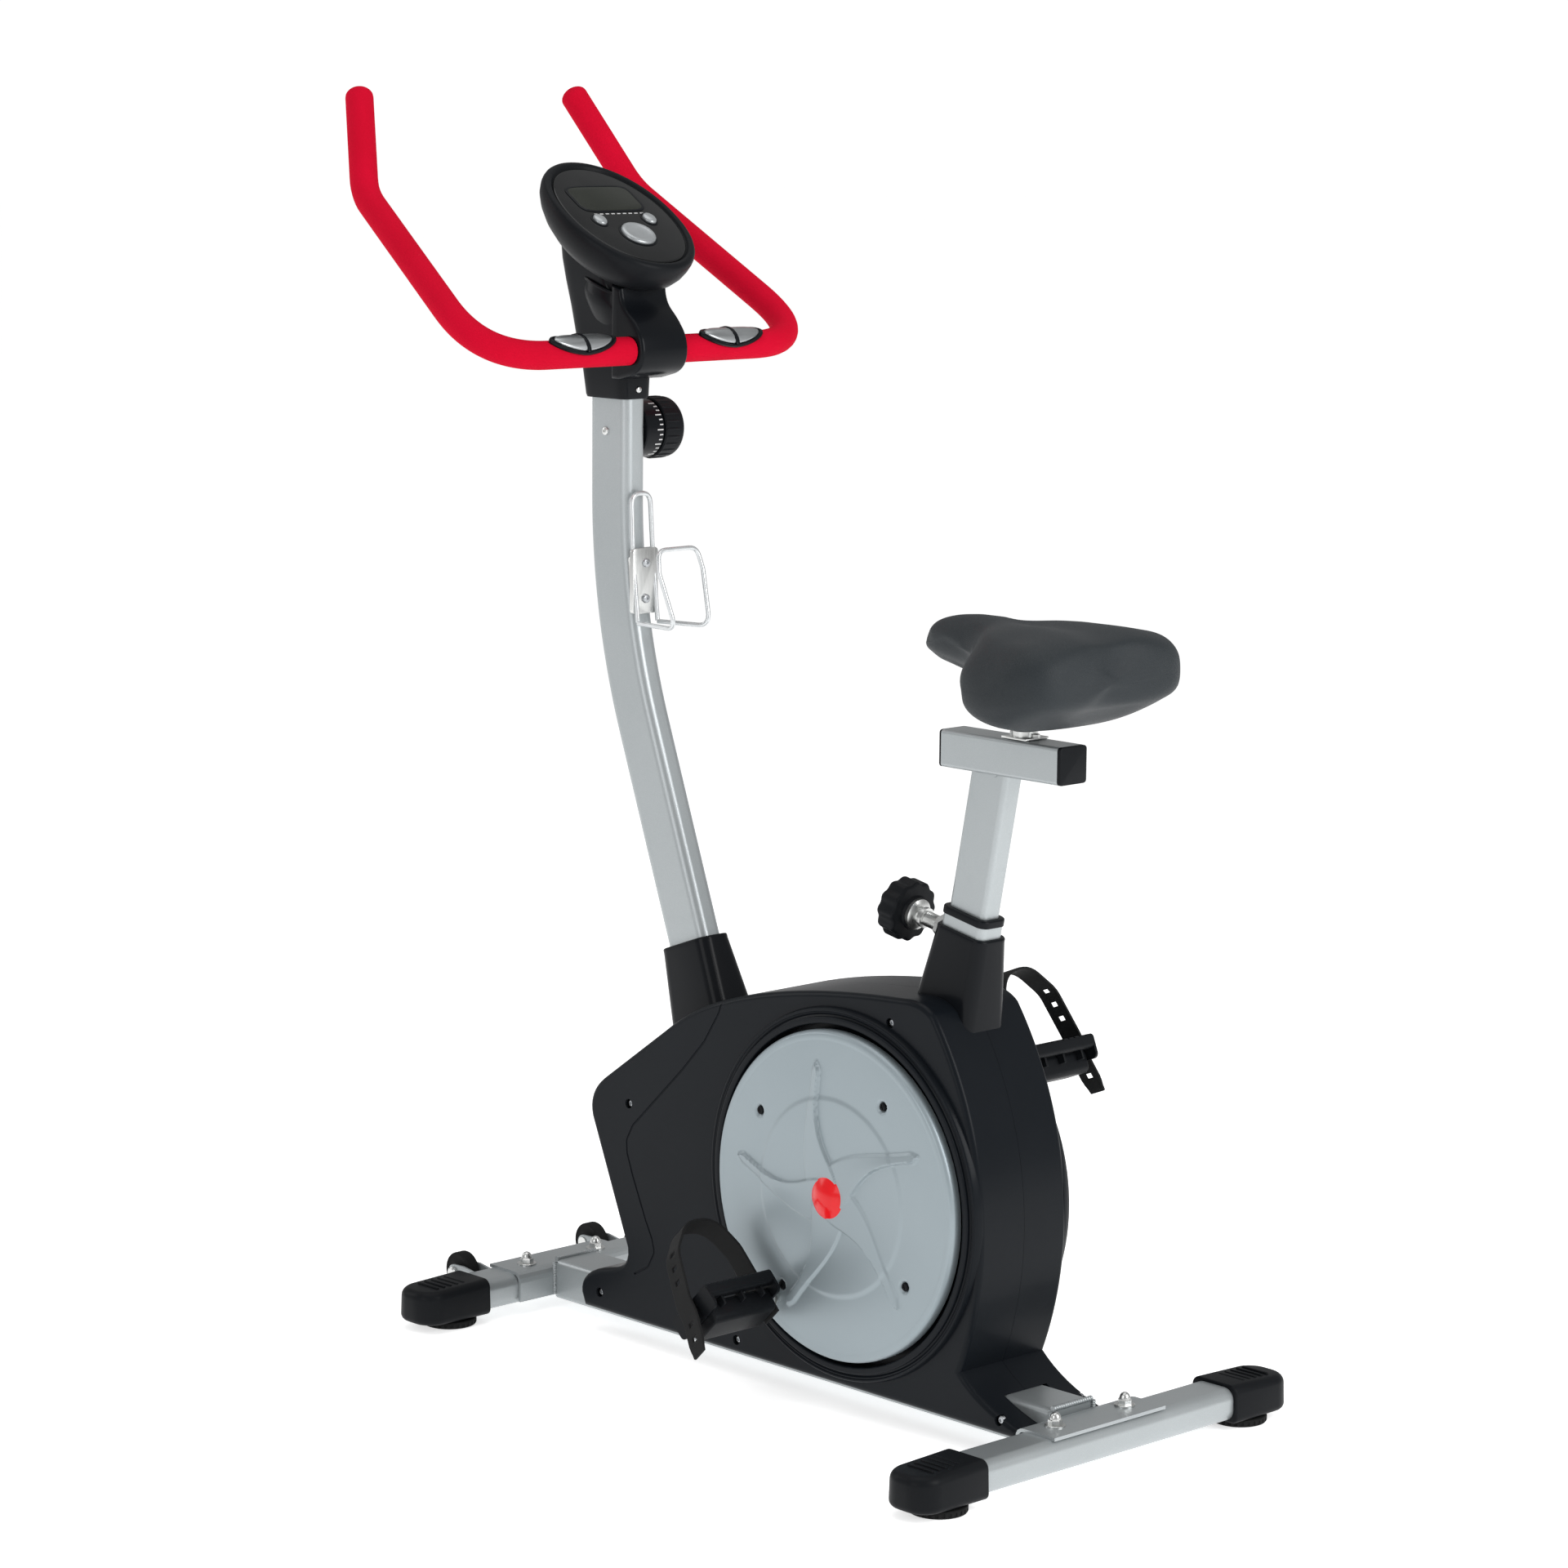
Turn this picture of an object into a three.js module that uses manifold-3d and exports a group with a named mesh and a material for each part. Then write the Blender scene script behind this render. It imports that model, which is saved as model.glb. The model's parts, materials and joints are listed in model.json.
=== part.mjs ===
// Upright magnetic exercise bike, in millimetres.
// +X is forward, +Y is the rider's left and +Z is up; the four feet stand on Z = 0.

import * as THREE from 'three';
import { mergeVertices } from 'three/addons/utils/BufferGeometryUtils.js';
import loadManifold from 'manifold-3d';

const wasm = await loadManifold();
wasm.setup();

// ---------------------------------------------------------------- driving dimensions

const GAP = 0.3; // air left between pieces that touch on the real bike
const SIDES = { left: 1, right: -1 };
const deg = THREE.MathUtils.degToRad;

// cross tubes that carry the feet
const TUBE_DEPTH = 52;
const TUBE_BOTTOM = 15;
const TUBE_TOP = 44;
const STABILISERS = {
  front: { x: 336, tip: 211, footY: 155, beamSide: -1 },
  rear: { x: -468, tip: 267, footY: 216.5, beamSide: 1 },
};
const CAP = { length: 89, depth: 62, bottom: 10.3, top: 51, wall: 18 };
const FOOT_RADIUS = 29;
const FOOT_STUD = 4;

// frame tubes
const BEAM = { width: 60, bottom: 14, top: 54, wall: 3 };
const CRADLE = { plate: 3.5, halfWidth: 80 };
const SEAT_LEAN = deg(-10.96); // the seat tube leans back
const MAST_LEAN = deg(-20.3); // the lower mast leans back going down, so forward going up
const SEAT_AXIS = { x: -291.4, z: 510 };
const SEAT_TUBE = { depth: 58, width: 33, wall: 1.7, rise: 9 };
const POST = { depth: 50, width: 25, top: 668.7, inserted: 150 };
const MAST = { depth: 60, width: 30, wall: 2.2, x: 241, bendTop: 900, bendRadius: 700, top: 1035 };
const SOCKET = { depth: 55, width: 25, top: 470 };

// drive train
const CRANK = { x: -177, z: 226, arm: 143, angle: deg(-56.5) };
const DISC_RADIUS = 170;
const PULLEY = { radius: 120, y0: 24, y1: 34 };
const FLYWHEEL = { x: 76, z: 165, radius: 86, y0: -44, y1: -20, pulleyRadius: 20, shaft: 8 };
const BELT_THICKNESS = 2;

// housing
const SHELL = { half: 62, wall: 3, recess: 176, floor: 50, ringTop: 72, edge: 6 };

// pedals
const PEDAL = { inner: 101, outer: 191, length: 70, thickness: 28, top: 11 };
const PEDAL_TILT = { left: deg(-45), right: deg(-22) };

// head of the mast
const BAR = { x: 186, z: 1055, steel: 12.5, bore: 11, foam: 15, clampHalf: 33 };
const CONSOLE = { x: 243.7, z: 1186, tilt: deg(-33.5), length: 97, width: 78 };
const TENSION = { z: 968, radius: 33, depth: 25 };

// seat
const SLIDER = { x0: -263, x1: -421, z0: 669, size: 38 };
const SADDLE = { bottom: 729, top: 822, round: 20 };
const SEAT_KNOB = { reach: 78, radius: 32 };

// ---------------------------------------------------------------- finishes

const paint = (color, roughness, metalness = 0) =>
  new THREE.MeshStandardMaterial({ color, roughness, metalness });

const FINISH = {
  silver: paint(0xb9bfc1, 0.4, 0.35),
  black: paint(0x17191b, 0.42),
  rubber: paint(0x141414, 0.75),
  disc: paint(0xa9b2b8, 0.38, 0.3),
  red: paint(0xd8121c, 0.25),
  foam: paint(0xc41230, 0.85),
  zinc: paint(0xc8cbc8, 0.35, 0.8),
  steel: paint(0x8e9296, 0.35, 0.9),
  iron: paint(0x4c4f52, 0.55, 0.8),
  belt: paint(0x1b1b1b, 0.8),
  saddle: paint(0x24272a, 0.65),
  glass: paint(0x20251f, 0.12),
  button: paint(0xb4b8ba, 0.35, 0.4),
  plate: paint(0xa8acae, 0.25, 0.9),
  wire: paint(0xdfe2e2, 0.3, 0.6),
};

// ---------------------------------------------------------------- shape helpers

const bike = new THREE.Group();

function facingOut(geometry) {
  const bare = geometry.clone();
  bare.deleteAttribute('normal');
  bare.deleteAttribute('uv');
  const closed = mergeVertices(bare, 1e-4);
  const at = closed.attributes.position;
  const index = closed.index.array;
  const corners = [new THREE.Vector3(), new THREE.Vector3(), new THREE.Vector3()];
  let volume = 0;
  for (let i = 0; i < index.length; i += 3) {
    corners.forEach((corner, k) => corner.fromBufferAttribute(at, index[i + k]));
    volume += corners[0].dot(corners[1].clone().cross(corners[2]));
  }
  if (volume < 0) {
    for (let i = 0; i < index.length; i += 3) {
      [index[i], index[i + 1]] = [index[i + 1], index[i]];
    }
  }
  return closed;
}

function toManifold(geometry) {
  const closed = facingOut(geometry);
  return new wasm.Manifold(new wasm.Mesh({
    numProp: 3,
    vertProperties: Float32Array.from(closed.attributes.position.array),
    triVerts: Uint32Array.from(closed.index.array),
  }));
}

function toGeometry(manifold) {
  const mesh = manifold.getMesh();
  const geometry = new THREE.BufferGeometry();
  geometry.setAttribute('position', new THREE.BufferAttribute(mesh.vertProperties, 3));
  geometry.setIndex(new THREE.BufferAttribute(mesh.triVerts, 1));
  return geometry;
}

const combine = (method, first, rest) =>
  toGeometry(rest.reduce((sum, next) => sum[method](toManifold(next)), toManifold(first)));
const cut = (first, ...rest) => combine('subtract', first, rest);
const join = (first, ...rest) => combine('add', first, rest);
const common = (first, ...rest) => combine('intersect', first, rest);

function piece(name, finish, geometry) {
  const shown = facingOut(geometry).toNonIndexed();
  shown.computeVertexNormals();
  const mesh = new THREE.Mesh(shown, FINISH[finish]);
  mesh.name = name;
  bike.add(mesh);
  return mesh;
}

// the same shape on the other side of the bike
const mirrored = (geometry, side) => geometry.clone().scale(1, side, 1);

function roundedRect(width, height, radius) {
  const x = width / 2 - radius;
  const y = height / 2 - radius;
  const shape = new THREE.Shape();
  shape.absarc(x, y, radius, 0, Math.PI / 2);
  shape.absarc(-x, y, radius, Math.PI / 2, Math.PI);
  shape.absarc(-x, -y, radius, Math.PI, 1.5 * Math.PI);
  shape.absarc(x, -y, radius, 1.5 * Math.PI, 2 * Math.PI);
  shape.closePath();
  return shape;
}

function ringShape(width, height, radius, wall) {
  const shape = roundedRect(width, height, radius);
  shape.holes.push(roundedRect(width - 2 * wall, height - 2 * wall, radius - wall));
  return shape;
}

function box(x0, x1, y0, y1, z0, z1) {
  return new THREE.BoxGeometry(x1 - x0, y1 - y0, z1 - z0)
    .translate((x0 + x1) / 2, (y0 + y1) / 2, (z0 + z1) / 2);
}

// a profile in X and Z, given thickness along Y
function slab(shape, y0, y1, curveSegments = 2) {
  return new THREE.ExtrudeGeometry(shape, { depth: y1 - y0, bevelEnabled: false, curveSegments })
    .rotateX(Math.PI / 2).translate(0, y1, 0);
}

// a section in X and Y, standing up along Z
function column(shape, z0, z1, curveSegments = 1) {
  return new THREE.ExtrudeGeometry(shape, { depth: z1 - z0, bevelEnabled: false, curveSegments })
    .translate(0, 0, z0);
}

// a turned piece on an axis along Y; the profile is [radius, y] pairs
function turned(profile, x, z, segments = 24) {
  const points = profile.map(([radius, y]) => new THREE.Vector2(radius, y));
  return new THREE.LatheGeometry(points, segments).translate(x, 0, z);
}

const rod = (radius, y0, y1, x, z, segments = 16) =>
  turned([[0, y0], [radius, y0], [radius, y1], [0, y1]], x, z, segments);

// a column whose upper end is wider or narrower than its foot
function tapered(shape, z0, z1, growX, growY, curveSegments = 1) {
  const geometry = column(shape, z0, z1, curveSegments);
  const at = geometry.attributes.position;
  for (let i = 0; i < at.count; i += 1) {
    const t = (at.getZ(i) - z0) / (z1 - z0);
    at.setX(i, at.getX(i) * (1 + t * (growX - 1)));
    at.setY(i, at.getY(i) * (1 + t * (growY - 1)));
  }
  return geometry;
}

// moves a column made along Z onto the leaning line through (x, z)
const lean = (geometry, angle, x, z) => geometry.rotateY(angle).translate(x, 0, z);

// a round or ring section swept along a path
function swept(path, shape, steps, curveSegments = 10) {
  return new THREE.ExtrudeGeometry(shape, { extrudePath: path, steps, curveSegments });
}

function circle(radius, hole = 0) {
  const shape = new THREE.Shape();
  shape.absarc(0, 0, radius, 0, 2 * Math.PI);
  if (hole > 0) {
    const inner = new THREE.Path();
    inner.absarc(0, 0, hole, 0, 2 * Math.PI);
    shape.holes.push(inner);
  }
  return shape;
}

// straight runs through the corners, rounded at each one
function bentPath(corners, radius) {
  const path = new THREE.CurvePath();
  let from = corners[0];
  for (let i = 1; i < corners.length - 1; i += 1) {
    const into = corners[i].clone().sub(corners[i - 1]).normalize();
    const out = corners[i + 1].clone().sub(corners[i]).normalize();
    const trim = radius * Math.tan(into.angleTo(out) / 2);
    const start = corners[i].clone().addScaledVector(into, -trim);
    const end = corners[i].clone().addScaledVector(out, trim);
    path.add(new THREE.LineCurve3(from, start));
    path.add(new THREE.QuadraticBezierCurve3(start, corners[i], end));
    from = end;
  }
  path.add(new THREE.LineCurve3(from, corners[corners.length - 1]));
  return path;
}

const vec = (x, y, z) => new THREE.Vector3(x, y, z);

// ---------------------------------------------------------------- stabilisers, caps and feet

function stabiliserTube({ x, tip }) {
  const half = tip - CAP.wall;
  const height = TUBE_TOP - TUBE_BOTTOM;
  return slab(ringShape(TUBE_DEPTH, height, 12, 2), -half, half)
    .translate(x, 0, (TUBE_TOP + TUBE_BOTTOM) / 2);
}

function endCap({ x, tip, footY }) {
  const outline = roundedRect(CAP.depth, CAP.length, 20);
  const body = new THREE.ExtrudeGeometry(outline, {
    depth: CAP.top - CAP.bottom - 12, bevelThickness: 6, bevelSize: 6, bevelOffset: -6,
    bevelSegments: 1, curveSegments: 2,
  }).translate(x, tip - CAP.length / 2, CAP.bottom + 6);
  const socket = slab(
    roundedRect(TUBE_DEPTH + 2 * GAP, TUBE_TOP - TUBE_BOTTOM + 2 * GAP, 12 + GAP),
    tip - CAP.length - 1, tip - CAP.wall + GAP,
  ).translate(x, 0, (TUBE_TOP + TUBE_BOTTOM) / 2);
  const studHole = column(circle(FOOT_STUD + 0.5), CAP.bottom - 1, TUBE_BOTTOM + 1, 6)
    .translate(x, footY, 0);
  return cut(body, socket, studHole);
}

function foot({ x, footY }) {
  const profile = [[0, 0], [27, 0], [FOOT_RADIUS, 2], [FOOT_RADIUS, 7], [26, 10], [FOOT_STUD, 10],
    [FOOT_STUD, TUBE_BOTTOM - 0.6], [0, TUBE_BOTTOM - 0.6]];
  return new THREE.LatheGeometry(profile.map(([r, z]) => new THREE.Vector2(r, z)), 18)
    .rotateX(Math.PI / 2).translate(x, footY, 0);
}

// transport wheels on ears welded to the front tube
const WHEEL = { x: STABILISERS.front.x + 52, z: 37, y: 94, radius: 21, half: 9, pin: 4 };

function frontStabiliser() {
  const pieces = [];
  for (const side of Object.values(SIDES)) {
    for (const y of [WHEEL.y - WHEEL.half - 4, WHEEL.y + WHEEL.half + 1]) {
      const ear = new THREE.Shape();
      ear.moveTo(STABILISERS.front.x + 16, TUBE_TOP - 1);
      ear.lineTo(STABILISERS.front.x + 24, TUBE_BOTTOM + 4);
      ear.lineTo(WHEEL.x + 2, WHEEL.z - 9);
      ear.absarc(WHEEL.x, WHEEL.z, 9, -Math.PI / 2, Math.PI / 2);
      ear.lineTo(STABILISERS.front.x + 16, TUBE_TOP + 3);
      pieces.push(mirrored(slab(ear, y, y + 3), side));
    }
    pieces.push(mirrored(
      rod(WHEEL.pin, WHEEL.y - WHEEL.half - 4, WHEEL.y + WHEEL.half + 4, WHEEL.x, WHEEL.z, 12), side,
    ));
  }
  return join(stabiliserTube(STABILISERS.front), ...pieces);
}

function transportWheel() {
  const { radius, half, pin, y } = WHEEL;
  const bore = pin + 0.4;
  return turned([[bore, y - half], [8, y - half], [10, y - half + 2], [radius - 3, y - half + 2],
    [radius, y - half + 4], [radius, y + half - 4], [radius - 3, y + half - 2], [10, y + half - 2],
    [8, y + half], [bore, y + half], [bore, y - half]], WHEEL.x, WHEEL.z, 18);
}

piece('front_stabiliser', 'silver', frontStabiliser());
piece('rear_stabiliser', 'silver', stabiliserTube(STABILISERS.rear));
for (const [end, bar] of Object.entries(STABILISERS)) {
  for (const [hand, side] of Object.entries(SIDES)) {
    piece(`end_cap_${end}_${hand}`, 'black', mirrored(endCap(bar), side));
    piece(`levelling_foot_${end}_${hand}`, 'rubber', mirrored(foot(bar), side));
  }
}
for (const [hand, side] of Object.entries(SIDES)) {
  piece(`transport_wheel_${hand}`, 'rubber', mirrored(transportWheel(), side));
}

// ---------------------------------------------------------------- main frame

// an angle plate that lies on a cross tube and closes the end of the beam
function cradle({ x, beamSide }) {
  const face = TUBE_DEPTH / 2 + GAP;
  const plate = CRADLE.plate;
  const shape = new THREE.Shape();
  shape.moveTo(-face + 4, TUBE_TOP + GAP);
  shape.lineTo(face - 8, TUBE_TOP + GAP);
  shape.quadraticCurveTo(face, TUBE_TOP + GAP, face, TUBE_TOP - 8);
  shape.lineTo(face, TUBE_BOTTOM);
  shape.lineTo(face + plate, TUBE_BOTTOM);
  shape.lineTo(face + plate, TUBE_TOP - 8);
  shape.quadraticCurveTo(face + plate, TUBE_TOP + GAP + plate, face - 8, TUBE_TOP + GAP + plate);
  shape.lineTo(-face + 4, TUBE_TOP + GAP + plate);
  shape.closePath();
  return slab(shape, -CRADLE.halfWidth, CRADLE.halfWidth, 4).scale(beamSide, 1, 1).translate(x, 0, 0);
}

const cradleFace = TUBE_DEPTH / 2 + GAP + CRADLE.plate + GAP;
const BEAM_ENDS = [STABILISERS.rear.x + cradleFace, STABILISERS.front.x - cradleFace];

function mainBeam() {
  const section = ringShape(BEAM.top - BEAM.bottom, BEAM.width, 6, BEAM.wall);
  return column(section, BEAM_ENDS[0], BEAM_ENDS[1])
    .rotateY(Math.PI / 2).translate(0, 0, (BEAM.top + BEAM.bottom) / 2);
}

const seatX = (z) => SEAT_AXIS.x + (z - SEAT_AXIS.z) * Math.tan(SEAT_LEAN);
const aboveBeam = box(-700, 700, -300, 300, BEAM.top + GAP, 1500);

function seatTube() {
  const length = SEAT_AXIS.z / Math.cos(SEAT_LEAN);
  const section = ringShape(SEAT_TUBE.depth, SEAT_TUBE.width, 8, SEAT_TUBE.wall);
  const tube = column(section, -length, SEAT_TUBE.rise);
  const shell = rod(23, -19, 19, CRANK.x, CRANK.z, 24);
  const bore = rod(9, -30, 30, CRANK.x, CRANK.z, 24);
  const gusset = new THREE.Shape();
  gusset.moveTo(seatX(CRANK.z + 40) + 24, CRANK.z + 40);
  gusset.lineTo(CRANK.x + 6, CRANK.z + 18);
  gusset.lineTo(CRANK.x + 6, CRANK.z - 18);
  gusset.lineTo(seatX(CRANK.z - 44) + 24, CRANK.z - 44);
  const welded = join(lean(tube, SEAT_LEAN, SEAT_AXIS.x, SEAT_AXIS.z), slab(gusset, -12, 12), shell);
  const inside = lean(
    column(roundedRect(SEAT_TUBE.depth - 2 * SEAT_TUBE.wall, SEAT_TUBE.width - 2 * SEAT_TUBE.wall, 6.3),
      -length - 20, 20),
    SEAT_LEAN, SEAT_AXIS.x, SEAT_AXIS.z,
  );
  const pinHole = seatKnobAxis(rod(8.6, 5, 60, 0, 0, 16));
  return common(cut(welded, inside, bore, pinHole), aboveBeam);
}

const mastBend = {
  z: MAST.bendTop + MAST.bendRadius * Math.sin(MAST_LEAN),
  x: MAST.x - MAST.bendRadius * (1 - Math.cos(MAST_LEAN)),
};

function mastSocket() {
  const length = 640;
  const tube = column(ringShape(SOCKET.depth, SOCKET.width, 7.5, 2), -length, SOCKET.top - mastBend.z);
  const arms = [-16.6, 12].map((y) => {
    const shape = new THREE.Shape();
    shape.moveTo(0, FLYWHEEL.z - 60);
    shape.lineTo(FLYWHEEL.x + 6, FLYWHEEL.z - 18);
    shape.absarc(FLYWHEEL.x, FLYWHEEL.z, 19, -Math.PI / 2, Math.PI / 2);
    shape.lineTo(40, FLYWHEEL.z + 44);
    return slab(shape, y, y + 4.6, 6);
  });
  const inside = lean(column(roundedRect(SOCKET.depth - 4, SOCKET.width - 4, 5.5), -700, 200),
    -MAST_LEAN, mastBend.x, mastBend.z);
  const bore = rod(FLYWHEEL.shaft + 0.4, -30, 30, FLYWHEEL.x, FLYWHEEL.z, 20);
  const post = lean(tube, -MAST_LEAN, mastBend.x, mastBend.z);
  return common(cut(join(post, ...arms), inside, bore), aboveBeam);
}

piece('main_beam', 'silver', mainBeam());
piece('front_cradle', 'silver', cradle(STABILISERS.front));
piece('rear_cradle', 'silver', cradle(STABILISERS.rear));
piece('seat_tube', 'silver', seatTube());
piece('mast_socket', 'silver', mastSocket());

// ---------------------------------------------------------------- mast

const mastLine = (distance) => ({
  x: mastBend.x + distance * Math.sin(MAST_LEAN),
  z: mastBend.z - distance * Math.cos(MAST_LEAN),
});
const MAST_FOOT = 292; // straight length below the bend

function mast() {
  const foot0 = mastLine(MAST_FOOT);
  const path = new THREE.CurvePath();
  path.add(new THREE.LineCurve3(vec(foot0.x, 0, foot0.z), vec(mastBend.x, 0, mastBend.z)));
  const elbow = mastLine(-MAST.bendRadius * Math.tan(-MAST_LEAN / 2));
  path.add(new THREE.QuadraticBezierCurve3(
    vec(mastBend.x, 0, mastBend.z), vec(elbow.x, 0, elbow.z), vec(MAST.x, 0, MAST.bendTop),
  ));
  path.add(new THREE.LineCurve3(vec(MAST.x, 0, MAST.bendTop), vec(MAST.x, 0, MAST.top)));
  return swept(path, ringShape(MAST.width, MAST.depth, 10, MAST.wall), 14, 1);
}

piece('mast', 'silver', mast());

// ---------------------------------------------------------------- boots

const seatBootOuter = (grow) => lean(
  tapered(roundedRect(80 + 2 * grow, 56 + 2 * grow, 14), -110, -2, 0.86, 0.8), SEAT_LEAN,
  SEAT_AXIS.x, SEAT_AXIS.z,
);
const mastBootOuter = (grow) => {
  const at = mastLine(MAST_FOOT);
  return lean(tapered(roundedRect(88 + 2 * grow, 58 + 2 * grow, 16), -70, 60, 0.82, 0.72),
    -MAST_LEAN, at.x, at.z);
};
const throughSeatBoot = lean(
  column(roundedRect(SEAT_TUBE.depth + 2 * GAP, SEAT_TUBE.width + 2 * GAP, 8.3), -140, 20),
  SEAT_LEAN, SEAT_AXIS.x, SEAT_AXIS.z,
);
const throughMastBoot = lean(
  column(roundedRect(MAST.depth + 2 * GAP, MAST.width + 2 * GAP, 10.3), -80, 90),
  -MAST_LEAN, mastLine(MAST_FOOT).x, mastLine(MAST_FOOT).z,
);

const knobPassage = seatKnobAxis(rod(12, 20, 90, 0, 0, 16));
piece('seat_boot', 'black', cut(seatBootOuter(0), throughSeatBoot, knobPassage));
piece('mast_boot', 'black', cut(mastBootOuter(0), throughMastBoot));

// ---------------------------------------------------------------- housing

// outline of the two shells, drawn inside out by the wall thickness
function housingOutline(inset) {
  const rear = { x: -4, z: 214, radius: 366 - inset };
  const shape = new THREE.Shape();
  shape.moveTo(222 - inset, 26 + inset);
  shape.lineTo(-420 + inset, 26 + inset);
  shape.lineTo(-420 + inset, 42 - inset);
  shape.quadraticCurveTo(-366 + inset, 48 - inset, -343 + inset, 78);
  shape.absarc(rear.x, rear.z, rear.radius, Math.PI + deg(22), Math.PI - deg(36), true);
  shape.quadraticCurveTo(-284 + inset, 443 - inset, -255, 440 - inset);
  shape.quadraticCurveTo(-90, 432 - inset, 20, 392 - inset);
  shape.lineTo(83 - inset * 0.3, 356 - inset);
  shape.lineTo(196 - inset, 278 - inset);
  shape.quadraticCurveTo(217 - inset, 262 - inset, 212 - inset, 240);
  shape.lineTo(152 - inset, 100);
  shape.quadraticCurveTo(152 - inset, 82 - inset, 182, 76 - inset);
  shape.quadraticCurveTo(232 - inset, 66 - inset, 228 - inset, 40);
  shape.closePath();
  return shape;
}

function housingHalf(side) {
  const { half, wall, recess, floor, ringTop, edge } = SHELL;
  const skin = new THREE.ExtrudeGeometry(housingOutline(0), {
    depth: half - edge, bevelThickness: edge, bevelSize: edge, bevelOffset: -edge,
    bevelSegments: 1, curveSegments: 6,
  }).rotateX(-Math.PI / 2).scale(1, 1, -1);
  const hollow = slab(housingOutline(wall), -1, half - wall - edge / 4, 4);
  const wellWall = rod(recess + wall, floor - wall, 200, CRANK.x, CRANK.z, 32);
  const ring = turned([[recess - 4, floor + 5], [recess + 8, floor + 5], [recess + 8, ringTop - 3],
    [recess + 5, ringTop], [recess - 4, ringTop], [recess - 4, floor + 5]], CRANK.x, CRANK.z, 32);
  const well = rod(recess, floor, 200, CRANK.x, CRANK.z, 32);
  const axleHole = rod(14, 0, 100, CRANK.x, CRANK.z, 20);
  const beamSlot = box(BEAM_ENDS[0] - 60, BEAM_ENDS[1], -40, BEAM.width / 2 + 0.5, 0, BEAM.top + 0.5);
  const oneSide = box(-700, 700, GAP / 2, 300, 0, 700);
  const shell = cut(join(skin, ring), cut(hollow, wellWall), well, axleHole, beamSlot,
    seatBootOuter(GAP), mastBootOuter(GAP));
  return mirrored(common(shell, oneSide), side);
}

for (const [hand, side] of Object.entries(SIDES)) {
  piece(`housing_${hand}`, 'black', housingHalf(side));
}

// ---------------------------------------------------------------- cranks, discs and pedals

const pedalAt = (side) => ({
  x: CRANK.x + side * CRANK.arm * Math.cos(CRANK.angle),
  z: CRANK.z + side * CRANK.arm * Math.sin(CRANK.angle),
});

function crankAxle() {
  return turned([[0, -51.7], [8.7, -51.7], [8.7, 51.7], [0, 51.7]], CRANK.x, CRANK.z, 24);
}

// crank arm with the four-armed spider that holds the disc
function crankArm(side) {
  const boss = rod(20, 52, 64, 0, 0, 24);
  const eye = rod(15, 52, 64, CRANK.arm, 0, 20);
  const arm = box(0, CRANK.arm, 53, 63, -12, 12);
  const legs = [0, 1, 2, 3].map((k) =>
    join(box(0, 128, 55, 61, -8, 8), rod(9, 55, 72, 128, 0, 12)).rotateY(-k * Math.PI / 2));
  const hole = rod(7.4, 40, 80, CRANK.arm, 0, 16);
  const turn = side > 0 ? -CRANK.angle : -CRANK.angle - Math.PI;
  return mirrored(cut(join(boss, eye, arm, ...legs), hole).rotateY(turn), side)
    .translate(CRANK.x, 0, CRANK.z);
}

function crankDisc(side) {
  const dish = turned([[13, 76], [13, 80], [110, 82], [162, 80.5], [DISC_RADIUS, 76],
    [DISC_RADIUS, 66], [DISC_RADIUS - 3, 66], [DISC_RADIUS - 3, 74], [160, 77], [110, 78.5], [13, 76]],
  CRANK.x, CRANK.z, 36);
  const at = pedalAt(side);
  return cut(mirrored(dish, side), mirrored(rod(8.5, 60, 90, at.x, at.z, 16), side));
}

function hubCap(side) {
  return mirrored(turned([[0, 68], [11, 68], [11, 82.3], [22, 82.6], [21, 86], [15, 90], [0, 92]],
    CRANK.x, CRANK.z, 20), side);
}

function pedalSpindle(side) {
  const at = pedalAt(side);
  return mirrored(turned([[0, 52], [7, 52], [7, 83], [10, 84], [10, 94], [6, 95], [6, PEDAL.outer - 8],
    [0, PEDAL.outer - 8]], at.x, at.z, 16), side);
}

// block pedal, drawn level: X is the foot's length, and the foot presses from +Z
function pedalBody() {
  const { length, thickness, top } = PEDAL;
  const shape = new THREE.Shape();
  shape.moveTo(-length / 2, top + 6);
  shape.lineTo(-length / 2 + 12, top + 6);
  shape.lineTo(-length / 2 + 14, top);
  shape.lineTo(length / 2 - 14, top);
  shape.lineTo(length / 2 - 12, top + 6);
  shape.lineTo(length / 2, top + 6);
  shape.lineTo(length / 2, top - 10);
  shape.quadraticCurveTo(length / 2 - 4, top - thickness, 14, top - thickness - 4);
  shape.lineTo(-14, top - thickness - 4);
  shape.quadraticCurveTo(-length / 2 + 4, top - thickness, -length / 2, top - 10);
  shape.closePath();
  const bore = rod(6.4, PEDAL.inner - 5, PEDAL.outer - 7, 0, 0, 16);
  return cut(slab(shape, PEDAL.inner, PEDAL.outer, 3), bore);
}

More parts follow.
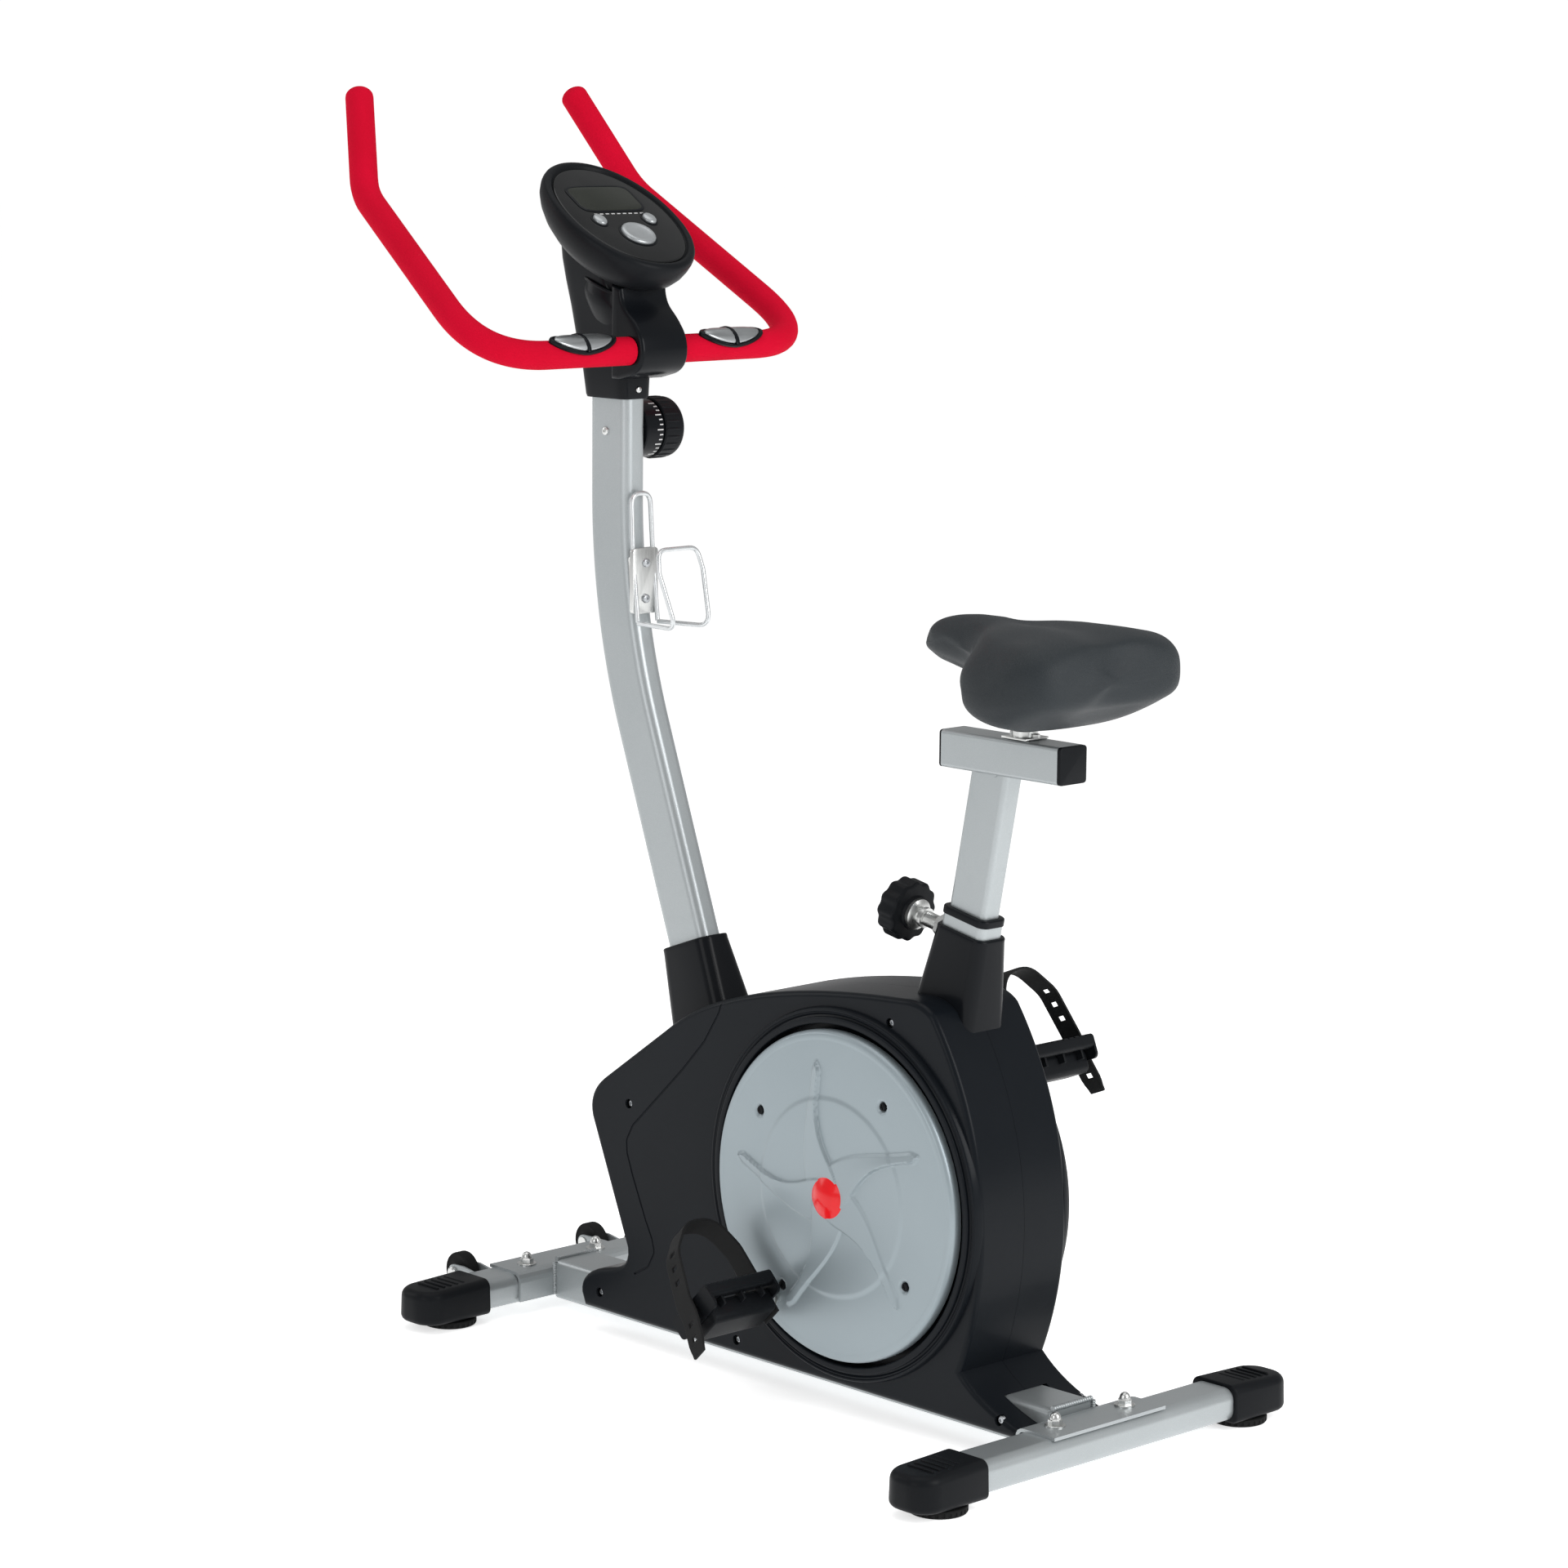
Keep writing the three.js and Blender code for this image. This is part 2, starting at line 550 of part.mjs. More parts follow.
// moulded strap that arches over the foot from one flank of the pedal to the other
function pedalStrap() {
  const inner = PEDAL.inner - GAP;
  const outer = PEDAL.outer + GAP;
  const middle = (inner + outer) / 2;
  const reach = (outer - inner) / 2;
  const thick = 3;
  const rise = 84;
  const shape = new THREE.Shape();
  shape.moveTo(-reach, 10);
  shape.bezierCurveTo(-reach, rise * 0.9, -reach * 0.5, rise, 0, rise);
  shape.bezierCurveTo(reach * 0.6, rise, reach, rise * 0.75, reach, 20);
  shape.lineTo(reach, -30);
  shape.lineTo(reach + thick, -30);
  shape.lineTo(reach + thick, 20);
  shape.bezierCurveTo(reach + thick, rise * 0.8, reach * 0.65, rise + thick, 0, rise + thick);
  shape.bezierCurveTo(-reach * 0.6, rise + thick, -reach - thick, rise * 0.95, -reach - thick, 10);
  shape.closePath();
  const band = new THREE.ExtrudeGeometry(shape, { depth: 27, bevelEnabled: false, curveSegments: 7 })
    .translate(0, 0, -13.5);
  const toYZ = new THREE.Matrix4().makeBasis(vec(0, 1, 0), vec(0, 0, 1), vec(1, 0, 0));
  return band.applyMatrix4(toYZ).translate(0, middle, 0);
}

for (const [hand, side] of Object.entries(SIDES)) {
  const at = pedalAt(side);
  const onSpindle = (geometry) =>
    mirrored(geometry, side).rotateY(-PEDAL_TILT[hand]).translate(at.x, 0, at.z);
  piece(`crank_arm_${hand}`, 'steel', crankArm(side));
  piece(`crank_disc_${hand}`, 'disc', crankDisc(side));
  piece(`hub_cap_${hand}`, 'red', hubCap(side));
  piece(`pedal_spindle_${hand}`, 'zinc', pedalSpindle(side));
  piece(`pedal_body_${hand}`, 'black', onSpindle(pedalBody()));
  piece(`pedal_strap_${hand}`, 'rubber', onSpindle(pedalStrap()));
}
piece('crank_axle', 'steel', crankAxle());

// ---------------------------------------------------------------- belt drive and flywheel

function drivePulley() {
  const { radius, y0, y1 } = PULLEY;
  return turned([[9, y0 - 3], [20, y0 - 3], [20, y0 + 2], [100, y0 + 2], [100, y0], [radius, y0],
    [radius, y1], [100, y1], [100, y1 - 3], [9, y1 - 3], [9, y0 - 3]], CRANK.x, CRANK.z, 32);
}

function flywheel() {
  const { radius, y0, y1, pulleyRadius, shaft } = FLYWHEEL;
  return turned([[0, y0], [62, y0 + 4], [62, y0], [radius, y0], [radius, y1], [62, y1], [60, y1 - 4],
    [14, y1 - 2], [shaft, y1 - 2], [shaft, PULLEY.y0 - 2], [pulleyRadius, PULLEY.y0 - 2],
    [pulleyRadius, PULLEY.y1 + 2], [0, PULLEY.y1 + 2]], FLYWHEEL.x, FLYWHEEL.z, 28);
}

// open belt around the two pulleys: straight runs tangent to both
function beltLoop(grow) {
  const dx = FLYWHEEL.x - CRANK.x;
  const dz = FLYWHEEL.z - CRANK.z;
  const along = Math.atan2(dz, dx);
  const spread = Math.acos((PULLEY.radius - FLYWHEEL.pulleyRadius) / Math.hypot(dx, dz));
  const shape = new THREE.Shape();
  shape.absarc(CRANK.x, CRANK.z, PULLEY.radius + grow, along + spread, along - spread + 2 * Math.PI);
  shape.absarc(FLYWHEEL.x, FLYWHEEL.z, FLYWHEEL.pulleyRadius + grow, along - spread, along + spread);
  shape.closePath();
  return shape;
}

function driveBelt() {
  const shape = beltLoop(GAP + BELT_THICKNESS + 0.3);
  shape.holes.push(beltLoop(GAP + 0.3));
  return slab(shape, PULLEY.y0 + 0.5, PULLEY.y1 - 0.5, 13);
}

// curved bracket that carries the magnets beside the rim; it swings about a pin at its upper end
const MAGNET = { inner: FLYWHEEL.radius + 4, outer: FLYWHEEL.radius + 14, from: deg(95), to: deg(150) };

function magnetBracket() {
  const shape = new THREE.Shape();
  shape.absarc(FLYWHEEL.x, FLYWHEEL.z, MAGNET.outer, MAGNET.from, MAGNET.to);
  shape.absarc(FLYWHEEL.x, FLYWHEEL.z, MAGNET.inner, MAGNET.to, MAGNET.from, true);
  shape.closePath();
  return slab(shape, FLYWHEEL.y0, FLYWHEEL.y1 - 1, 8);
}

piece('drive_pulley', 'black', drivePulley());
piece('drive_belt', 'belt', driveBelt());
piece('flywheel', 'iron', flywheel());
piece('magnet_bracket', 'zinc', magnetBracket());

// ---------------------------------------------------------------- seat post, slider and saddle

function seatKnobAxis(geometry) {
  const toX = new THREE.Matrix4().makeBasis(vec(0, 0, 1), vec(1, 0, 0), vec(0, 1, 0));
  return geometry.applyMatrix4(toX).rotateY(SEAT_LEAN)
    .translate(SEAT_AXIS.x, 0, SEAT_AXIS.z).translate(12 * Math.sin(SEAT_LEAN) * -1, 0, -12);
}

function seatBush() {
  const sleeve = column(roundedRect(SEAT_TUBE.depth - 2 * SEAT_TUBE.wall - 2 * GAP,
    SEAT_TUBE.width - 2 * SEAT_TUBE.wall - 2 * GAP, 6), 1, SEAT_TUBE.rise + 1);
  const flange = column(roundedRect(SEAT_TUBE.depth + 2, SEAT_TUBE.width + 2, 9),
    SEAT_TUBE.rise + GAP, SEAT_TUBE.rise + 7);
  const through = column(roundedRect(POST.depth + 2 * GAP, POST.width + 2 * GAP, 6.3), -60, 60);
  return lean(cut(join(sleeve, flange), through), SEAT_LEAN, SEAT_AXIS.x, SEAT_AXIS.z);
}

function seatPost() {
  const rise = (POST.top - SEAT_AXIS.z) / Math.cos(SEAT_LEAN);
  const tube = column(ringShape(POST.depth, POST.width, 6, 2), -POST.inserted, rise + 20);
  const below = box(-700, 700, -100, 100, 0, POST.top - GAP);
  return common(lean(tube, SEAT_LEAN, SEAT_AXIS.x, SEAT_AXIS.z), below);
}

function sliderBar() {
  const { x0, x1, z0, size } = SLIDER;
  return column(ringShape(size, size, 4, 2), x1, x0).rotateY(Math.PI / 2)
    .translate(0, 0, z0 + size / 2);
}

const SLIDER_TOP = SLIDER.z0 + SLIDER.size;

// clamp that wraps the slider's top and grips the saddle's base
function saddleClamp() {
  const plate = box(-388, -330, -24, 24, SLIDER_TOP + GAP, SLIDER_TOP + 4);
  const stud = box(-372, -346, -14, 14, SLIDER_TOP + 2, SADDLE.bottom - GAP);
  return join(plate, stud);
}

// plain body of the padded saddle: nose forward, two wings behind
function saddle() {
  const shape = new THREE.Shape();
  shape.moveTo(-226, 0);
  shape.bezierCurveTo(-226, 26, -262, 32, -300, 42);
  shape.bezierCurveTo(-340, 54, -352, 112, -400, 118);
  shape.bezierCurveTo(-450, 122, -484, 96, -486, 60);
  shape.bezierCurveTo(-487, 36, -474, 20, -472, 0);
  shape.bezierCurveTo(-474, -20, -487, -36, -486, -60);
  shape.bezierCurveTo(-484, -96, -450, -122, -400, -118);
  shape.bezierCurveTo(-352, -112, -340, -54, -300, -42);
  shape.bezierCurveTo(-262, -32, -226, -26, -226, 0);
  const { bottom, top, round } = SADDLE;
  const cushion = new THREE.ExtrudeGeometry(shape, {
    depth: top - bottom - 2 * round, bevelThickness: round, bevelSize: 16, bevelOffset: -16,
    bevelSegments: 2, curveSegments: 4,
  }).translate(0, 0, bottom + round);
  const underNose = new THREE.Shape();
  underNose.moveTo(-352, bottom - 1);
  underNose.lineTo(-318, 764);
  underNose.lineTo(-200, 774);
  underNose.lineTo(-200, bottom - 1);
  underNose.closePath();
  return cut(cushion, slab(underNose, -130, 130));
}

// screw knob with its locking pin
function seatKnob() {
  const lobes = new THREE.Shape();
  const { radius, reach } = SEAT_KNOB;
  for (let k = 0; k <= 48; k += 1) {
    const angle = (k / 48) * 2 * Math.PI;
    const r = radius - 1.5 + 1.5 * Math.cos(8 * angle);
    if (k === 0) lobes.moveTo(r, 0);
    else lobes.lineTo(r * Math.cos(angle), r * Math.sin(angle));
  }
  const grip = new THREE.ExtrudeGeometry(lobes, { depth: 24, bevelEnabled: false })
    .rotateX(Math.PI / 2).translate(0, reach + 26, 0);
  const shaft = turned([[0, 27.5], [5, 27.5], [8, 31], [8, 50], [10, 50], [10, reach - 8], [17, reach - 4],
    [17, reach + 3], [0, reach + 3]], 0, 0, 16);
  return seatKnobAxis(join(grip, shaft));
}

piece('seat_bush', 'black', seatBush());
piece('seat_post', 'silver', seatPost());
piece('slider_bar', 'silver', sliderBar());
piece('saddle_clamp', 'zinc', saddleClamp());
piece('saddle', 'saddle', saddle());
piece('seat_knob', 'black', seatKnob());

// ---------------------------------------------------------------- mast head and handlebar

const HEAD = { bottom: 1002, top: 1142, rear: 209.5 };

function headCover() {
  const outer = tapered(roundedRect(68, 40, 14), HEAD.bottom, HEAD.top, 1.16, 1.7)
    .translate(MAST.x + 1, 0, 0);
  const pocket = column(roundedRect(MAST.depth + 2 * GAP, MAST.width + 2 * GAP, 10.3),
    HEAD.bottom - 1, MAST.top + GAP).translate(MAST.x, 0, 0);
  const clampSide = box(100, HEAD.rear, -100, 100, 1000, 1300);
  return cut(outer, pocket, clampSide, consoleAxes(new THREE.CylinderGeometry(200, 200, 200, 6)
    .rotateX(Math.PI / 2).translate(0, 0, 100 - 36)));
}

// places a shape drawn face-up around the console's centre
function consoleAxes(geometry) {
  return geometry.rotateY(CONSOLE.tilt).translate(CONSOLE.x, 0, CONSOLE.z);
}

function clampCover() {
  const shape = new THREE.Shape();
  shape.moveTo(HEAD.rear - GAP, 1112);
  shape.quadraticCurveTo(188, 1100, 176, 1080);
  shape.quadraticCurveTo(166, 1066, 166, 1053);
  shape.quadraticCurveTo(168, 1028, 196, 1026);
  shape.lineTo(HEAD.rear - GAP, 1026);
  shape.closePath();
  const { x, z, steel, clampHalf } = BAR;
  return cut(slab(shape, -clampHalf, clampHalf, 4), rod(steel + 0.5, -50, 50, x, z, 20));
}

const BAR_CORNERS = [vec(BAR.x, BAR.clampHalf + 1, BAR.z), vec(186, 232, 1055), vec(431, 188, 1212),
  vec(486, 151, 1312)];

const halfBar = (shape) => swept(bentPath(BAR_CORNERS, 75), shape, 20, 5);

function handlebar() {
  const { x, z, steel, bore, clampHalf } = BAR;
  const half = halfBar(circle(steel, bore));
  const reach = clampHalf + 2;
  const middle = turned([[bore - 0.4, -reach], [steel - 0.3, -reach], [steel - 0.3, reach],
    [bore - 0.4, reach], [bore - 0.4, -reach]], x, z, 16);
  return join(middle, half, mirrored(half, -1));
}

// hand-pulse sensor: a saddle-shaped pad on top of the foam
function pulseSensor() {
  const { x, z, foam } = BAR;
  const pad = turned([[foam + GAP + 0.4, 62], [foam + 2, 66], [foam + 4, 80], [foam + 4, 122],
    [foam + 2, 136], [foam + GAP + 0.4, 140], [foam + GAP + 0.4, 62]], x, z, 20);
  const facing = box(x - 40, x + 40, 50, 150, z + 3, z + 60);
  return common(pad, facing);
}

piece('head_cover', 'black', headCover());
piece('clamp_cover', 'black', clampCover());
piece('handlebar', 'steel', handlebar());
for (const [hand, side] of Object.entries(SIDES)) {
  piece(`foam_grip_${hand}`, 'foam', mirrored(halfBar(circle(BAR.foam, BAR.steel + 0.4)), side));
  piece(`pulse_sensor_${hand}`, 'plate', mirrored(pulseSensor(), side));
}

// ---------------------------------------------------------------- console

const BUTTONS = [
  { name: 'button_left', u: -9, y: 34.5, long: 9, wide: 8 },
  { name: 'button_right', u: -9, y: -34.5, long: 9, wide: 8 },
  { name: 'button_enter', u: -35, y: 0, long: 19, wide: 21 },
];
const BUTTON_TRAVEL = 1.5;

const oval = (length, width, z0, z1, segments = 20) => new THREE.CylinderGeometry(1, 1, z1 - z0, segments)
  .rotateX(Math.PI / 2).scale(length, width, 1).translate(0, 0, (z0 + z1) / 2);

function consoleBody() {
  const profile = [[0, -34], [0.42, -33], [0.76, -24], [0.96, -10], [1, 0], [0.97, 7], [0.9, 10], [0.84, 8],
    [0, 8]];
  const shell = new THREE.LatheGeometry(profile.map(([r, z]) => new THREE.Vector2(r, z)), 28)
    .rotateX(-Math.PI / 2).scale(1, 1, -1).scale(CONSOLE.length, CONSOLE.width, 1);
  const pockets = BUTTONS.map(({ u, y, long, wide }) =>
    oval(long + 0.5, wide + 0.5, 2, 30, 16).translate(u, y, 0));
  return consoleAxes(cut(shell, ...pockets));
}

function displayLens() {
  const lens = cut(oval(79, 61, 8 + GAP, 9.5, 28), box(-200, -10, -90, 90, 0, 20),
    ...BUTTONS.map(({ u, y, long, wide }) => oval(long + 1, wide + 1, 0, 30, 16).translate(u, y, 0)));
  return consoleAxes(lens);
}

piece('console_body', 'black', consoleBody());
piece('display_lens', 'glass', displayLens());
for (const { name, u, y, long, wide } of BUTTONS) {
  piece(name, 'button', consoleAxes(oval(long, wide, 2 + BUTTON_TRAVEL + 0.4, 11.5, 16)
    .translate(u, y, 0)));
}

// ---------------------------------------------------------------- tension knob and bottle cage

// places a shape drawn along +Y so that it stands on the mast's right face
function besideMast(geometry, z) {
  return geometry.rotateZ(Math.PI).translate(MAST.x, -MAST.width / 2 - GAP, z);
}

function tensionBase() {
  const { radius, depth, z } = TENSION;
  return besideMast(turned([[0, 0], [radius, 0], [radius, depth], [0, depth]], 0, 0, 28), z);
}

function tensionKnob() {
  const { radius, depth, z } = TENSION;
  return besideMast(turned([[0, depth + 0.5], [radius, depth + 0.5], [radius, depth + 16],
    [radius - 3, depth + 24], [radius - 12, depth + 30], [0, depth + 32]], 0, 0, 28), z);
}

// wire cage: a tall loop up the mast and a hoop that holds the bottle
function bottleCage() {
  const wire = circle(2.5);
  const mastRear = 204;
  const back = mastRear - 8;
  const run = (corners, radius, steps) => swept(bentPath(corners, radius), wire, steps, 3);
  const backLoop = run([vec(back - 4, 14, 768), vec(back + 8, 14, 902), vec(back + 8, -14, 902),
    vec(back - 4, -14, 768)], 12, 16);
  const hoop = run([vec(back - 4, 14, 768), vec(120, 25, 769), vec(142, 33, 850), vec(142, -33, 850),
    vec(120, -25, 769), vec(back - 4, -14, 768)], 14, 26);
  const bracket = box(back - 1, back + 4.5, -18, 18, 790, 850);
  return join(backLoop, hoop, bracket);
}

piece('tension_base', 'black', tensionBase());
piece('tension_knob', 'black', tensionKnob());
piece('bottle_cage', 'wire', bottleCage());

export default bike;
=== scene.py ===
# %% [markdown]
# # An upright exercise bike
#
# The bike stands on two cross tubes. A beam joins them, and it carries the seat tube, the
# bent mast and the drive, which a pair of black shells hides. Every CAD piece is already in
# place, in metres, with +X forward, +Y to the rider's left and +Z up. This lesson gives the
# outer pieces their real curves and every piece its real finish.

import json
import math

import bmesh
import bpy
from mathutils import Matrix, Vector


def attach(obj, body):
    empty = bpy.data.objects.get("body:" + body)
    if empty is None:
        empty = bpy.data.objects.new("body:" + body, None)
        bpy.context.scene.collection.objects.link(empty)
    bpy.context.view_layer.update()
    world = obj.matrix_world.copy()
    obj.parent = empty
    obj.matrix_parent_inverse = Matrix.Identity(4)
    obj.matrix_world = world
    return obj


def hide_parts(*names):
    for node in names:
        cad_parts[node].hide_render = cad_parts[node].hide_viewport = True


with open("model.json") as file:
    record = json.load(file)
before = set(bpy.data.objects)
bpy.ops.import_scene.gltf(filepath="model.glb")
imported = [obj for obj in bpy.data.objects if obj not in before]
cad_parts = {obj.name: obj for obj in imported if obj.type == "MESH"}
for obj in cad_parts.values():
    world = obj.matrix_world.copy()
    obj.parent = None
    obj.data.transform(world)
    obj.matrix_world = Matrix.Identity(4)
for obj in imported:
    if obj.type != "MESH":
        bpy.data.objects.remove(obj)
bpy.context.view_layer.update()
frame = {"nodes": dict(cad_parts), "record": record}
nodes = frame["nodes"]

# %% [markdown]
# The camera comes first. A long lens from behind the rider's left shoulder, a little above the
# saddle, shows the side, the back and the top of the bike together. The camera is aimed by its
# three axes: right, up and back.

# %% Camera
YAW = math.radians(-43.557)
PITCH = math.radians(-9.235)
ROLL = math.radians(0.514)
look = Vector((math.cos(PITCH) * math.cos(YAW), math.cos(PITCH) * math.sin(YAW), math.sin(PITCH)))
level = look.cross(Vector((0, 0, 1))).normalized()
above = level.cross(look)
right = level * math.cos(ROLL) + above * math.sin(ROLL)
up = above * math.cos(ROLL) - level * math.sin(ROLL)
bpy.ops.object.camera_add()
camera = bpy.context.object
camera.name = "studio_camera"
camera.data.sensor_width = 36
camera.data.lens = 103.81
camera.data.clip_end = 50
camera.matrix_world = Matrix((
    (right.x, up.x, -look.x, -3.3504),
    (right.y, up.y, -look.y, 3.1673),
    (right.z, up.z, -look.z, 1.3672),
    (0, 0, 0, 1),
))
bpy.context.scene.camera = camera
print("camera looks along", tuple(round(v, 3) for v in look))

# %% [markdown]
# A white sweep and four large soft lamps make the light of a product studio: a broad key
# from above and behind the camera, a fill from the left, one overhead, and a glow in front
# that puts a long highlight down the dark shells. The world adds an even, pale light from all round. It is
# seen as white but lights the bike less, so the black plastic stays black.

# %% Floor and lights
bpy.ops.mesh.primitive_plane_add(size=60)
studio_floor = bpy.context.object
studio_floor.name = "studio_floor"

world = bpy.data.worlds.new("studio")
world.use_nodes = True
ROOM_LIGHT = 0.40
backdrop = world.node_tree.nodes["Background"]
backdrop.inputs["Color"].default_value = (1, 1, 1, 1)
path = world.node_tree.nodes.new("ShaderNodeLightPath")
strength = world.node_tree.nodes.new("ShaderNodeMapRange")
strength.inputs["To Min"].default_value = ROOM_LIGHT
strength.inputs["To Max"].default_value = 1.05
world.node_tree.links.new(path.outputs["Is Camera Ray"], strength.inputs["Value"])
world.node_tree.links.new(strength.outputs["Result"], backdrop.inputs["Strength"])
bpy.context.scene.world = world
bpy.context.scene.view_settings.view_transform = "Standard"


def softbox(name, place, target, size, power):
    """A rectangular area lamp at place that faces target."""
    bpy.ops.object.light_add(type="AREA", location=place)
    lamp = bpy.context.object
    lamp.name = name
    lamp.data.shape = "RECTANGLE"
    lamp.data.size, lamp.data.size_y = size
    lamp.data.energy = power
    lamp.rotation_mode = "QUATERNION"
    lamp.rotation_quaternion = (Vector(target) - Vector(place)).to_track_quat("-Z", "Y")
    return lamp


softbox("key", (-3.0, -0.5, 1.9), (0, 0, 0.6), (1.6, 2.0), 62)
softbox("fill", (-0.6, 3.4, 1.6), (0, 0, 0.6), (1.6, 1.8), 20)
softbox("overhead", (0.2, 0.2, 3.6), (0, 0, 0.4), (3.0, 3.0), 36)
softbox("front_glow", (3.0, 1.6, 2.0), (0.1, 0, 0.7), (1.2, 2.0), 16)
print("four lamps and a floor")

# %% [markdown]
# Finishes are written as sums. `Wire` wraps one output socket, so that `grain * 0.2 + 0.4`
# adds the Math nodes by itself, and `Bench` adds every other node. A number that is the same
# all over a surface is set on the shader's own socket.

# %% Shader sums
class Wire:
    """One socket's value. Plain arithmetic on it adds Math nodes."""

    def __init__(self, bench, socket):
        self.bench, self.socket = bench, socket

    def _math(self, operation, *values):
        return self.bench.add("ShaderNodeMath", {"operation": operation}, {
            i: value for i, value in enumerate(values)})

    def __add__(self, other):
        return self._math("ADD", self, other)

    def __radd__(self, other):
        return self._math("ADD", other, self)

    def __sub__(self, other):
        return self._math("SUBTRACT", self, other)

    def __rsub__(self, other):
        return self._math("SUBTRACT", other, self)

    def __mul__(self, other):
        return self._math("MULTIPLY", self, other)

    def __rmul__(self, other):
        return self._math("MULTIPLY", other, self)

    def __gt__(self, other):
        return self._math("GREATER_THAN", self, other)

    def __lt__(self, other):
        return self._math("LESS_THAN", self, other)


class Bench:
    """A new material and its node tree."""

    def __init__(self, name, **fixed):
        self.material = bpy.data.materials.new(name)
        self.material.use_nodes = True
        self.nodes = self.material.node_tree.nodes
        self.links = self.material.node_tree.links
        self.shader = self.nodes["Principled BSDF"]
        self.put(self.shader, fixed)

    def put(self, node, values):
        for key, value in values.items():
            socket = node.inputs[key]
            if isinstance(value, Wire):
                self.links.new(value.socket, socket)
            else:
                socket.default_value = value

    def add(self, kind, settings=None, values=None, output=0):
        node = self.nodes.new(kind)
        for key, value in (settings or {}).items():
            if key == "stops":
                ramp = node.color_ramp.elements
                while len(ramp) < len(value):
                    ramp.new(0.5)
                for stop, (place, shade) in zip(ramp, value):
                    stop.position, stop.color = place, (*shade, 1)
            else:
                setattr(node, key, value)
        self.put(node, values or {})
        return Wire(self, node.outputs[output])

    def place(self):
        return self.add("ShaderNodeTexCoord", output="Object")

    def noise(self, scale, detail=3, at=None):
        return self.add("ShaderNodeTexNoise", {}, {
            "Vector": at or self.place(), "Scale": scale, "Detail": detail})

    def cells(self, scale, feature="F1", at=None):
        return self.add("ShaderNodeTexVoronoi", {"feature": feature}, {
            "Vector": at or self.place(), "Scale": scale})

    def stretched(self, scale):
        return self.add("ShaderNodeMapping", {}, {"Vector": self.place(), "Scale": scale})

    def axes(self):
        split = self.add("ShaderNodeSeparateXYZ", {}, {"Vector": self.place()})
        return [Wire(self, socket) for socket in split.socket.node.outputs]

    def blend(self, low, high, factor):
        return self.add("ShaderNodeMix", {"data_type": "RGBA"}, {
            "Factor": factor, 6: (*low, 1) if isinstance(low, tuple) else low,
            7: (*high, 1) if isinstance(high, tuple) else high}, output=2)

    def ramp(self, factor, *stops):
        return self.add("ShaderNodeValToRGB", {"stops": stops}, {"Fac": factor})

    def bump(self, height, strength, distance=0.001, under=None):
        values = {"Height": height, "Strength": strength, "Distance": distance}
        if under is not None:
            values["Normal"] = under
        return self.add("ShaderNodeBump", {}, values)

    def finish(self, **values):
        self.put(self.shader, {key.replace("_", " "): value for key, value in values.items()})
        return self.material


print("shader sums ready")

# %% [markdown]
# Edges of a real piece are a little brighter and smoother than its faces, because hands and
# cloths polish them. The Geometry node's Pointiness could find them, but it depends on the
# mesh, so wear here comes from broad noise instead, which works on every piece.
#
# The frame is sprayed with silver paint. Fine metal flakes make it sparkle a little, and the
# sprayed film has a faint orange-peel texture.

# %% Silver paint and bright metal
def silver_paint():
    bench = Bench("silver_paint", **{"Specular IOR Level": 0.5, "Coat Roughness": 0.18})
    flakes = bench.cells(1800)
    cloud = bench.noise(9, 4)
    peel = bench.noise(420, 2)
    scuff = bench.add("ShaderNodeMath", {"operation": "SMOOTH_MAX"}, {
        0: bench.noise(55, 6) - 0.6, 1: 0.0, 2: 0.05})
    colour = bench.blend((0.29, 0.32, 0.33), (0.36, 0.39, 0.40), cloud)
    return bench.finish(Base_Color=bench.blend(colour, (0.56, 0.58, 0.59), flakes * 0.35),
                        Roughness=0.34 + cloud * 0.08 + scuff * 0.5, Metallic=0.55 + flakes * 0.1,
                        Coat_Weight=0.25 - scuff * 0.4,
                        Normal=bench.bump(peel, 0.08, 0.0003))


def brushed(name, colour, along, rough=0.3):
    bench = Bench(name, Metallic=1.0)
    lines = bench.noise(1.0, 5, at=bench.stretched(along))
    cloud = bench.noise(30, 3)
    dark = tuple(c * 0.72 for c in colour)
    return bench.finish(Base_Color=bench.blend(dark, colour, lines),
                        Roughness=rough - 0.08 + lines * 0.16 + cloud * 0.08,
                        Normal=bench.bump(lines, 0.12, 0.0002))


def bright_wire():
    bench = Bench("bright_wire", **{"Metallic": 0.7})
    cloud = bench.noise(60, 4)
    pits = bench.cells(900)
    return bench.finish(Base_Color=bench.blend((0.52, 0.54, 0.55), (0.68, 0.70, 0.71), cloud),
                        Roughness=0.22 + cloud * 0.14, Normal=bench.bump(pits, 0.06, 0.0002))


def cast_iron():
    bench = Bench("cast_iron", Metallic=0.9)
    sand = bench.noise(300, 8)
    rust = bench.noise(25, 5)
    return bench.finish(Base_Color=bench.blend((0.12, 0.12, 0.125), (0.24, 0.23, 0.22), rust),
                        Roughness=0.45 + sand * 0.3, Normal=bench.bump(sand, 0.5, 0.0006))


SILVER = silver_paint()
ZINC = brushed("zinc_plate", (0.72, 0.73, 0.72), (60, 900, 60), 0.26)
STEEL = brushed("plain_steel", (0.50, 0.52, 0.54), (80, 700, 80), 0.32)
SENSOR_PLATE = brushed("sensor_plate", (0.46, 0.48, 0.49), (300, 30, 300), 0.34)
WIRE = bright_wire()
IRON = cast_iron()
print("metals ready")

# %% [markdown]
# Nearly all plastic here is the same black moulding with a fine, low grain, as spark erosion
# leaves in a mould. Smooth parts, such as the boots, have less grain and more gloss. Dust
# settles in patches, so a broad noise changes the gloss a little.

